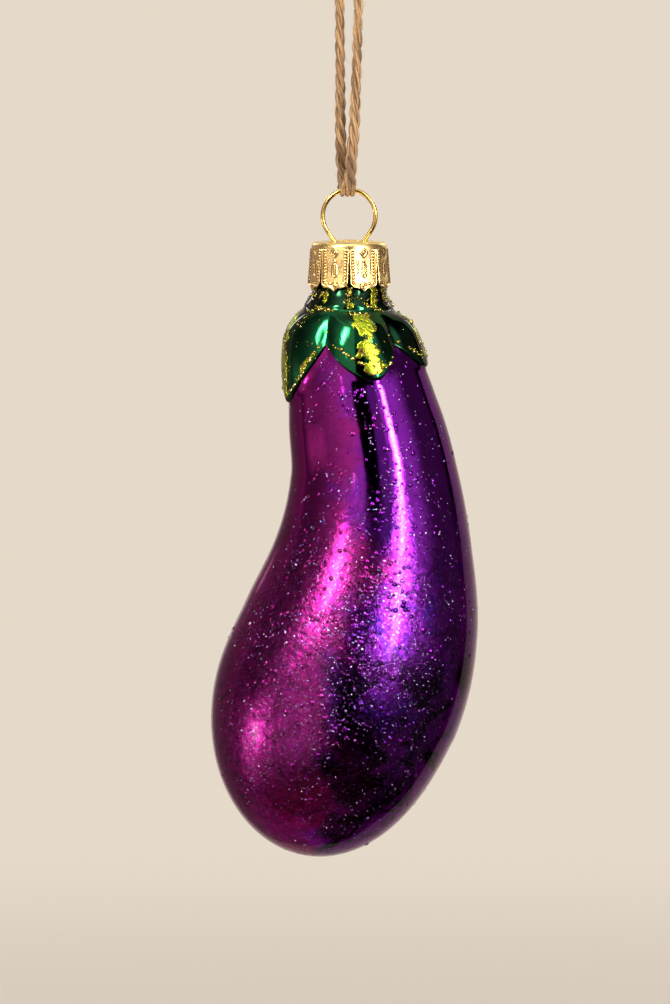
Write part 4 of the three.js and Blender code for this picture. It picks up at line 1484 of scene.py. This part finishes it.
    def open_holes(self, cap):
        """Opens the two holes that the hanger's legs pass through."""
        mesh = bmesh.new()
        mesh.from_mesh(cap.data)
        inside = set()
        for vertex in mesh.verts:
            if vertex.co.z < CAP_TOP - 0.2 * MM:
                continue
            for side in (-1, 1):
                off = Vector((vertex.co.x - side * self.HOLE_PLACE, vertex.co.y, 0))
                if 1e-7 < off.length < self.HOLE_RADIUS:
                    inside.add(vertex)
                    off *= self.HOLE_RADIUS / off.length
                    vertex.co.x = side * self.HOLE_PLACE + off.x
                    vertex.co.y = off.y
                elif off.length <= 1e-7:
                    inside.add(vertex)
        holes = [face for face in mesh.faces if all(vertex in inside for vertex in face.verts)]
        bmesh.ops.delete(mesh, geom=holes, context="FACES")
        mesh.to_mesh(cap.data)
        mesh.free()


class ORNAMENT_OT_glass(bpy.types.Operator):
    """Blow the purple glass body"""

    bl_idname = "ornament.glass"
    bl_label = "Glass Body"

    COLUMNS = 180
    FILLET_RISE = 0.22 * MM
    FILLET_REACH = 0.40 * MM
    # Radius of the glass about where the sepals end, which turns degrees into a length
    EDGE_RADIUS = 12 * MM

    def execute(self, context):
        settings = context.scene.ornament_glass
        lacquer = purple_lacquer(settings, "Purple lacquer")
        columns = self.COLUMNS
        grid, turned = self.rings(190, 46)
        outside = face_point(grid, turned) + face_normal(grid, turned) * self.fillet(grid, turned)[..., None]
        inner_grid, inner_turned = self.rings(60, 16)
        inside = face_point(inner_grid, inner_turned) - face_normal(inner_grid, inner_turned) * GLASS_WALL
        rows_out, rows_in = len(grid), len(inner_grid)
        points = np.vstack([outside.reshape(-1, 3), inside.reshape(-1, 3)])
        faces = grid_faces(rows_out, columns)
        start = rows_out * columns
        faces += grid_faces(rows_in, columns, start, flip=True)
        faces += [(k, (k + 1) % columns, start + (k + 1) % columns, start + k) for k in range(columns)]
        tip_out = face_point(TIP_STATION, 0.0)
        lean = TAIL_LINE[-1] - TAIL_LINE[-2]
        lean = np.array((lean[0], 0, lean[1])) / np.linalg.norm(lean)
        points = np.vstack([points, tip_out, tip_out - lean * GLASS_WALL])
        last_out = (rows_out - 1) * columns
        last_in = start + (rows_in - 1) * columns
        tip = len(points) - 2
        faces += [(last_out + k, tip, last_out + (k + 1) % columns) for k in range(columns)]
        faces += [(last_in + (k + 1) % columns, tip + 1, last_in + k) for k in range(columns)]
        body = add_piece("eggplant_glass", points, faces, lacquer, "glass")
        # Painted light in part: the tone by side tints the lacquer magenta towards -X and violet towards +X.
        sides = [np.sin(turned).reshape(-1), np.sin(inner_turned).reshape(-1), [0.0, 0.0]]
        set_tone(body, 0.5 + 0.5 * np.concatenate(sides))
        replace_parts(body, "glass_body")
        return {"FINISHED"}

    def rings(self, body_rows, tail_rows):
        """Stations and angles of rings of points, from the lip down to just above the tip."""
        angles = 2 * math.pi * np.arange(self.COLUMNS) / self.COLUMNS
        body = np.linspace(0, BELLY_STATION, body_rows)
        tail = BELLY_STATION + np.linspace(0, 1, tail_rows)[1:-1]
        return np.broadcast_arrays(np.concatenate([body, tail])[:, None], angles[None, :])

    def fillet(self, stations, angles):
        """The small rise of the glass where it meets the edge of a sepal."""
        reach, edge = sepal_at(np.degrees(angles))
        depth = np.interp(stations, STATION_TABLE, DEPTH_TABLE)
        step = 0.5
        slope = (sepal_at(np.degrees(angles) + step)[1] - sepal_at(np.degrees(angles) - step)[1]) / (
            2 * math.radians(step) * self.EDGE_RADIUS
        )
        distance = (depth - edge) / np.sqrt(1 + np.clip(slope, -3, 3) ** 2)
        near = np.exp(-((np.maximum(distance, 0) / self.FILLET_REACH) ** 1.5))
        return self.FILLET_RISE * near * smoothstep(CREASE_DEPTH - 2 * MM, CREASE_DEPTH, depth)


def square_to(normals):
    """Two directions square to each normal and to each other."""
    side = np.cross(normals, (0.3, 0.5, 0.81))
    side /= np.linalg.norm(side, axis=1, keepdims=True)
    return side, np.cross(normals, side)


def domes(places, normals, radii, contact, sides, ring_shares):
    """Points and faces of many shallow domes, each with its own radius, standing square to its normal."""
    number = len(places)
    side, other = square_to(normals)
    ball = radii / math.sin(contact)
    turn = 2 * math.pi * np.arange(sides) / sides
    flat = side[:, None, :] * np.cos(turn)[None, :, None] + other[:, None, :] * np.sin(turn)[None, :, None]
    rings = []
    for ring_share in ring_shares:
        angle = contact * ring_share
        across = (ball * math.sin(angle))[:, None, None]
        up = (ball * (math.cos(angle) - math.cos(contact)))[:, None, None]
        rings.append(places[:, None, :] + flat * across + normals[:, None, :] * up)
    top = places[:, None, :] + (normals * (ball * (1 - math.cos(contact)))[:, None])[:, None, :]
    points = np.concatenate(rings + [top], axis=1)
    per = points.shape[1]
    pattern = grid_faces(len(ring_shares), sides)
    last = (len(ring_shares) - 1) * sides
    pattern += [(last + k, per - 1, last + (k + 1) % sides) for k in range(sides)]
    pattern.append(tuple(range(sides)))
    faces = [tuple(start + k for k in face) for start in range(0, number * per, per) for face in pattern]
    return points.reshape(-1, 3), faces, per


def scatter_spots(random, number, patchiness, gathered=0.0):
    """Stations and angles of spots over the bare glass, in drifts that thin out towards the sides.

    Gathered is the share that lies in a broad band down the middle of the front and of the back.
    """
    found = []
    batch = 4000
    while sum(len(part) for part in found) < number:
        depth = random.uniform(13, TIP_DEPTH / MM - 0.2, batch)
        angles = random.uniform(0, 2 * math.pi, batch)
        stations = station_at(depth * MM)
        edge = sepal_at(np.degrees(angles))[1] / MM
        spots = face_point(stations, angles)
        weight = ring_at(stations)[2] / (21.2 * MM)
        weight *= 0.04 + 0.96 * np.abs(np.cos(angles)) ** 2.2
        band = bell(np.sin(angles + 0.05), 0.0, 0.42) * bell(depth, 50.0, 24.0)
        weight *= 1 - gathered * (1 - band)
        weight *= np.interp(depth, (24, 35, 45, 75, 95, 105), (0.5, 0.7, 1.0, 1.0, 0.5, 0.2))
        weight *= np.clip(0.5 + patchiness * cloud(spots, 110, 2.0, 2), 0.06, 1)
        kept = (random.uniform(0, 1, batch) < weight) & (depth > edge + 0.8)
        found.append(np.stack([stations[kept], angles[kept]], axis=1))
    return np.vstack(found)[:number]


class ORNAMENT_OT_droplets(bpy.types.Operator):
    """Scatter drops of lacquer over the body"""

    bl_idname = "ornament.droplets"
    bl_label = "Droplets"

    # Angles at which the broad and the mirrored drops meet the glass
    SWELL_CONTACT = math.radians(40)
    DROP_CONTACT = math.radians(44)

    def execute(self, context):
        settings = context.scene.ornament_glass
        random = np.random.default_rng(5)
        swells = scatter_spots(random, settings.swells, 0.7, 0.75)
        radii = np.clip(settings.swell_radius * random.lognormal(0, 0.25, len(swells)), 0.2 * MM, 0.48 * MM)
        points, faces, per = domes(
            face_point(*swells.T),
            face_normal(*swells.T),
            radii,
            self.SWELL_CONTACT,
            12,
            (1.1, 0.8, 0.52, 0.25),
        )
        lacquer = purple_lacquer(settings, "Purple swells")
        piece = add_piece("lacquer_swells", points, faces, lacquer, "glass")
        # Painted light in part: the tone by side tints the swells magenta towards -X and violet towards +X.
        set_tone(piece, np.repeat(0.5 + 0.5 * np.sin(swells[:, 1]), per))
        drops = np.vstack([scatter_spots(random, settings.drops, 1.3, 0.45), self.chains(random)])
        radii = settings.drop_radius * random.lognormal(0, 0.33, len(drops))
        radii = np.clip(radii, 0.08 * MM, 0.34 * MM)
        points, faces, per = domes(
            face_point(*drops.T), face_normal(*drops.T), radii, self.DROP_CONTACT, 7, (1.12, 0.55)
        )
        piece = add_piece("silvered_drops", points, faces, drop_lacquer(settings), "glass")
        set_tone(piece, np.repeat(random.uniform(0, 1, len(drops)), per))
        return {"FINISHED"}

    def chains(self, random):
        """Short curved rows of drops that ran together."""
        starts = scatter_spots(random, 70, 0.9)
        rows = []
        for station, angle in starts:
            number = random.integers(4, 11)
            heading = random.uniform(0, 2 * math.pi)
            for _ in range(number):
                heading += random.normal(0, 0.35)
                step = random.uniform(0.30, 0.46) * MM
                radius = float(ring_at(station)[2])
                station = min(station + step * math.cos(heading) / (12.5 * MM), TIP_STATION - 0.02)
                angle += step * math.sin(heading) / radius
                depth = float(np.interp(station, STATION_TABLE, DEPTH_TABLE))
                if depth > float(sepal_at(np.degrees(angle))[1]) + 0.8 * MM:
                    rows.append((station, angle))
        return np.array(rows)


class ORNAMENT_OT_calyx(bpy.types.Operator):
    """Mould the green calyx"""

    bl_idname = "ornament.calyx"
    bl_label = "Calyx"

    COLUMNS = 320
    EDGE_ROLL = 0.55 * MM
    SUNK = 0.12 * MM

    def execute(self, context):
        settings = context.scene.ornament_calyx
        emerald = emerald_lacquer(settings)
        columns = self.COLUMNS
        angles = SEPALS[0][0] + FULL_TURN * np.arange(columns) / columns
        reach, edge = sepal_at(angles)
        roll = self.EDGE_ROLL / (edge - CREASE_DEPTH)
        rows = []
        for v in np.concatenate([np.linspace(-1, -0.1, 16), np.linspace(-0.1, 0.1, 13)[1:]]):
            rows.append(calyx_point(angles, np.full(columns, v))[0])
        for t in np.linspace(0, 1, 46)[1:]:
            rows.append(calyx_point(angles, 0.1 + (0.9 - roll) * t)[0])
        lip = calyx_relief(1 - roll, reach)
        for turn in np.radians(np.linspace(0, 90, 7)[1:]):
            v = 1 - roll * (1 - math.sin(turn))
            sunk = lip * math.cos(turn) - calyx_relief(v, reach)
            rows.append(calyx_point(angles, v, sunk - 0.06 * MM * math.sin(turn))[0])
        for v in (1.0, 0.5, 0.0, -1.0):
            place = np.full(columns, v)
            rows.append(calyx_point(angles, place, -self.SUNK - calyx_relief(place, reach))[0])
        points = np.vstack(rows)
        faces = grid_faces(len(rows), columns)
        last = (len(rows) - 1) * columns
        faces += [(last + k, k, (k + 1) % columns, last + (k + 1) % columns) for k in range(columns)]
        calyx = add_piece("calyx_relief", points, faces, emerald, "glass")
        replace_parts(calyx, "calyx")
        return {"FINISHED"}


def cut_patch(points, field, triangles):
    """The part of a triangle mesh where a field is above 0: new points, the field there, and faces."""
    kept_points, kept_field, faces = [], [], []
    known = {}

    def corner(a, b=None):
        key = (a, b) if b is None or a < b else (b, a)
        if key not in known:
            if b is None:
                kept_points.append(points[a])
                kept_field.append(field[a])
            else:
                way = field[key[0]] / (field[key[0]] - field[key[1]])
                kept_points.append(points[key[0]] + (points[key[1]] - points[key[0]]) * way)
                kept_field.append(0.0)
            known[key] = len(kept_points) - 1
        return known[key]

    for triangle in triangles:
        outline = []
        for k in range(3):
            a, b = triangle[k], triangle[(k + 1) % 3]
            if field[a] > 0:
                outline.append(corner(a))
            if (field[a] > 0) != (field[b] > 0):
                outline.append(corner(a, b))
        if len(outline) > 2:
            faces.append(tuple(outline))
    return np.array(kept_points), np.array(kept_field), faces


class ORNAMENT_OT_gilding(bpy.types.Operator):
    """Lay the crackled leaf and the gold grit on the calyx"""

    bl_idname = "ornament.gilding"
    bl_label = "Gilding"

    # Thickness of the leaf and how far it is sunk, room left round each patch, and the grain of its mesh
    LEAF_HEIGHT = 0.09
    LEAF_SUNK = 0.04
    ROOM_ABOVE = 1.2
    ROOM_BELOW = 1.0
    ROOM_BESIDE = 7
    ROW_STEP = 0.13
    COLUMN_STEP = 0.75
    # Millimetres to a degree round the calyx, and beads of the thin scatter
    MM_PER_DEGREE = 0.19
    LOOSE_BEADS = 110
    # Spines of the leaf patches, as places of angle in degrees, depth and half width in degrees
    LEAVES = (
        (
            (14, 12.4, 10),
            (14.5, 14.2, 10.5),
            (17, 15.6, 8.5),
            (15, 16.6, 5.5),
            (12.5, 18, 8),
            (14, 20, 9.5),
            (16.5, 22, 9),
            (19, 23.4, 5),
        ),
        ((-33, 17.4, 2), (-41, 18.8, 3), (-48, 20.4, 3.5), (-55, 22, 3.5), (-63, 23.2, 4), (-72, 24.5, 3)),
        ((-76, 12.6, 5), (-75, 14.5, 6), (-74, 17, 7), (-71, 19.5, 6.5), (-72, 22, 6), (-74, 24.3, 3)),
        ((-38, 7.4, 4), (-37, 9.4, 5), (-35, 10.8, 3)),
        ((-2, 7.2, 5), (0, 9.2, 6), (3, 11.2, 3.5)),
        ((43, 7.4, 5), (40, 9.2, 6), (34, 10.9, 4)),
        ((82, 13.4, 3), (80, 16, 4.5), (76, 19, 4), (74, 22, 2)),
        ((118, 12.8, 6), (134, 15, 8), (146, 18.5, 7), (151, 22.6, 3)),
        ((196, 12.2, 7), (210, 15, 9), (216, 19, 8), (219, 23.6, 3)),
        ((150, 7.2, 6), (156, 10.6, 4)),
        ((222, 7.3, 5), (216, 10.9, 4)),
        ((100, 7.4, 3), (96, 10.4, 4)),
        ((262, 12.4, 4), (268, 15, 5), (266, 18, 3)),
    )
    # Lines of grit: the two ends as angle and depth, beads in all, how far they stray in degrees, and size
    GRIT = (
        ((-29, 17.0), (-41, 19.2), 26, 0.7, 0.95),
        ((-41, 19.2), (-54, 22.4), 24, 0.7, 0.85),
        ((-54, 22.4), (-71, 24.3), 26, 0.8, 0.80),
        ((3, 12.4), (24, 12.6), 46, 2.0, 0.80),
        ((13.5, 15.0), (21, 22.4), 40, 3.2, 0.80),
        ((8, 20.9), (-3.5, 18.7), 8, 0.6, 1.75),
        ((-3.5, 18.7), (-15.5, 16.9), 6, 0.6, 1.6),
        ((10, 21.4), (33, 22.0), 16, 1.2, 1.1),
        ((-45, 11.2), (-59, 15.0), 24, 2.0, 0.75),
        ((-72, 13.0), (-69, 24.2), 26, 3.0, 0.70),
        ((-50, 11.3), (-18, 11.9), 22, 1.2, 0.85),
        ((27, 10.9), (50, 11.8), 18, 1.4, 0.85),
        ((-76, 7.4), (-60, 11.0), 34, 4.0, 0.85),
        ((66, 7.4), (60, 11.0), 24, 3.0, 0.85),
        ((-44, 7.4), (-37, 10.6), 22, 3.0, 0.90),
        ((0, 7.4), (2, 11.4), 28, 3.4, 0.90),
        ((47, 7.8), (35, 11.2), 30, 2.6, 0.90),
        ((14, 9.4), (30, 11.3), 18, 2.4, 0.80),
        ((72, 8.0), (72, 10.6), 8, 2.0, 0.80),
        ((80, 13.2), (72, 21.6), 22, 2.4, 0.70),
        ((46, 17.8), (70, 22.0), 22, 1.0, 0.80),
        ((84, 22.0), (108, 18.0), 24, 1.0, 0.85),
        ((120, 13.0), (150, 22.2), 70, 4.5, 0.85),
        ((122, 19.0), (146, 23.0), 22, 1.0, 0.85),
        ((160, 22.4), (180, 18.2), 22, 1.0, 0.85),
        ((198, 12.6), (217, 23.0), 80, 4.5, 0.85),
        ((190, 18.8), (212, 23.6), 24, 1.0, 0.85),
        ((226, 23.4), (246, 18.4), 24, 1.0, 0.85),
        ((254, 18.2), (276, 24.0), 26, 1.0, 0.85),
        ((150, 7.4), (156, 10.8), 22, 3.0, 0.85),
        ((222, 7.4), (216, 11.0), 22, 3.0, 0.85),
        ((100, 7.6), (96, 10.8), 18, 3.0, 0.85),
    )

    def execute(self, context):
        settings = context.scene.ornament_calyx
        points, faces = [], []
        for seed, spine in enumerate(self.LEAVES):
            self.add_leaf(np.array(spine, float), seed + 1.0, points, faces)
        add_piece("metal_leaf", np.vstack(points), faces, metal_leaf(settings), "glass")
        self.add_grit(settings)
        return {"FINISHED"}

    def add_leaf(self, spine, seed, points, faces):
        """A thin ragged patch of leaf that follows the calyx, with torn edges, holes and loose flakes."""
        low, high = spine[:, 1].min() - self.ROOM_ABOVE, spine[:, 1].max() + self.ROOM_BELOW
        first = (spine[:, 0] - spine[:, 2]).min() - self.ROOM_BESIDE
        last = (spine[:, 0] + spine[:, 2]).max() + self.ROOM_BESIDE
        rows, columns = int((high - low) / self.ROW_STEP), int((last - first) / self.COLUMN_STEP)
        depth = np.linspace(low, high, rows)[:, None] + np.zeros((1, columns))
        angles = np.linspace(first, last, columns)[None, :] + np.zeros((rows, 1))
        middle = np.interp(depth, spine[:, 1], spine[:, 0])
        wide = np.interp(depth, spine[:, 1], spine[:, 2])
        edge = sepal_at(angles)[1]
        v = np.clip(calyx_place(depth * MM, edge), -1.2, 1.2)
        place, normal = calyx_point(angles, np.clip(v, -1, 0.97))
        off = np.abs(angles - middle)
        beyond = np.maximum(off - wide, 0) * self.MM_PER_DEGREE
        ends = np.minimum(depth - low - self.ROOM_ABOVE, high - self.ROOM_BELOW - depth)
        inward = np.minimum((wide - off) * self.MM_PER_DEGREE, ends)
        inside = np.where(beyond > 0, -beyond, inward)
        torn = cloud(place, 620, seed, 3) * 0.95 + cloud(place, 2000, seed + 3, 2) * 0.15
        field = np.clip(inside, -1.4, 0.5) * 0.9 + torn * 0.75 - 0.10
        field = np.where((v > 0.93) | (v < -0.97), -1.0, field)
        flat_points = place.reshape(-1, 3)
        flat_field = field.reshape(-1)
        triangles = []
        for a, b, c, d in grid_faces(rows, columns, closed=False):
            triangles.append((a, b, c))
            triangles.append((a, c, d))
        kept, kept_field, kept_faces = cut_patch(flat_points, flat_field, triangles)
        if not len(kept):
            return
        normals, _, _ = cut_patch(normal.reshape(-1, 3), flat_field, triangles)
        lift = np.minimum(kept_field * 0.4, self.LEAF_HEIGHT)[:, None] * MM
        offset = sum(len(p) for p in points)
        upper = kept + normals * lift
        lower = kept - normals * self.LEAF_SUNK * MM
        rim = kept_field <= 0
        upper[rim] = lower[rim]
        points.append(np.vstack([upper, lower]))
        under = offset + len(upper)
        below = [offset + k if rim[k] else under + k for k in range(len(upper))]
        faces.extend(tuple(offset + k for k in face) for face in kept_faces)
        faces.extend(tuple(below[k] for k in reversed(face)) for face in kept_faces)

    def add_grit(self, settings):
        """Beads in lines and clusters, and a thin scatter over the whole calyx."""
        random = np.random.default_rng(9)
        spots = []
        for (from_angle, from_depth), (to_angle, to_depth), number, stray, factor in self.GRIT:
            way = np.sort(random.uniform(0, 1, number))
            angles = from_angle + (to_angle - from_angle) * way + random.normal(0, stray, number)
            depths = from_depth + (to_depth - from_depth) * way + random.normal(0, stray * 0.11, number)
            sizes = factor * random.lognormal(-0.1, 0.36, number)
            spots.append(np.stack([angles, depths, sizes, random.uniform(0, 1, number)], axis=1))
        loose = self.LOOSE_BEADS
        spots.append(
            np.stack(
                [
                    random.uniform(-180, 180, loose),
                    random.uniform(7.0, 22.0, loose),
                    random.lognormal(-0.55, 0.3, loose),
                    random.uniform(0, 1, loose),
                ],
                axis=1,
            )
        )
        angles, depths, sizes, tones = np.vstack(spots).T
        edge = sepal_at(angles)[1]
        v = np.clip(calyx_place(depths * MM, edge), -0.92, 0.95)
        place, normal = calyx_point(angles, v)
        radii = settings.bead_radius * np.clip(sizes, 0.45, 2.0)
        points, faces, per = self.beads(place + normal * radii[:, None] * 0.2, normal, radii)
        piece = add_piece("gold_grit", points, faces, gold_grit(settings), "glass")
        set_tone(piece, np.repeat(tones, per))

    def beads(self, middles, normals, radii, sides=8, rings=5):
        """Points and faces of many small round beads."""
        shapes, faces = [], []
        side, other = square_to(normals)
        shapes.append((middles + normals * radii[:, None])[:, None, :])
        for ring in range(1, rings):
            angle = math.pi * ring / rings
            for k in range(sides):
                turn = 2 * math.pi * k / sides
                level = side * math.cos(turn) + other * math.sin(turn)
                out = level * math.sin(angle) + normals * math.cos(angle)
                shapes.append((middles + out * radii[:, None])[:, None, :])
        shapes.append((middles - normals * radii[:, None])[:, None, :])
        points = np.concatenate(shapes, axis=1)
        per = points.shape[1]
        last = 1 + (rings - 2) * sides
        pattern = [(0, 1 + k, 1 + (k + 1) % sides) for k in range(sides)]
        pattern += grid_faces(rings - 1, sides, 1)
        pattern += [(per - 1, last + (k + 1) % sides, last + k) for k in range(sides)]
        for start in range(0, len(middles) * per, per):
            faces += [tuple(start + k for k in face) for face in pattern]
        return points.reshape(-1, 3), faces, per


OPERATORS = (
    ORNAMENT_OT_stage,
    ORNAMENT_OT_twine,
    ORNAMENT_OT_knot,
    ORNAMENT_OT_hanger,
    ORNAMENT_OT_cap,
    ORNAMENT_OT_glass,
    ORNAMENT_OT_droplets,
    ORNAMENT_OT_calyx,
    ORNAMENT_OT_gilding,
)


class ORNAMENT_PT_panel(bpy.types.Panel):
    """Lists the ornament's pieces and their settings"""

    bl_idname = "ORNAMENT_PT_panel"
    bl_label = "Eggplant Ornament"
    bl_space_type = "VIEW_3D"
    bl_region_type = "UI"
    bl_category = "Ornament"

    def draw(self, context):
        for operator in OPERATORS:
            self.layout.operator(operator.bl_idname)
        for group in SETTINGS:
            settings = getattr(context.scene, group)
            box = self.layout.box()
            for name in settings.__annotations__:
                box.prop(settings, name)


SETTINGS = {
    "ornament_stage": StageSettings,
    "ornament_twine": TwineSettings,
    "ornament_metal": MetalSettings,
    "ornament_glass": GlassSettings,
    "ornament_calyx": CalyxSettings,
}
CLASSES = (*SETTINGS.values(), *OPERATORS, ORNAMENT_PT_panel)


def register():
    """Adds the classes and gives each scene its settings."""
    for cls in CLASSES:
        bpy.utils.register_class(cls)
    for name, group in SETTINGS.items():
        setattr(bpy.types.Scene, name, bpy.props.PointerProperty(type=group))


def unregister():
    """Takes the settings and the classes away again."""
    for name in SETTINGS:
        delattr(bpy.types.Scene, name)
    for cls in reversed(CLASSES):
        bpy.utils.unregister_class(cls)


def main():
    """Makes the stage and every piece."""
    register()
    for operator in OPERATORS:
        group, name = operator.bl_idname.split(".")
        getattr(getattr(bpy.ops, group), name)()


if __name__ == "__main__":
    main()
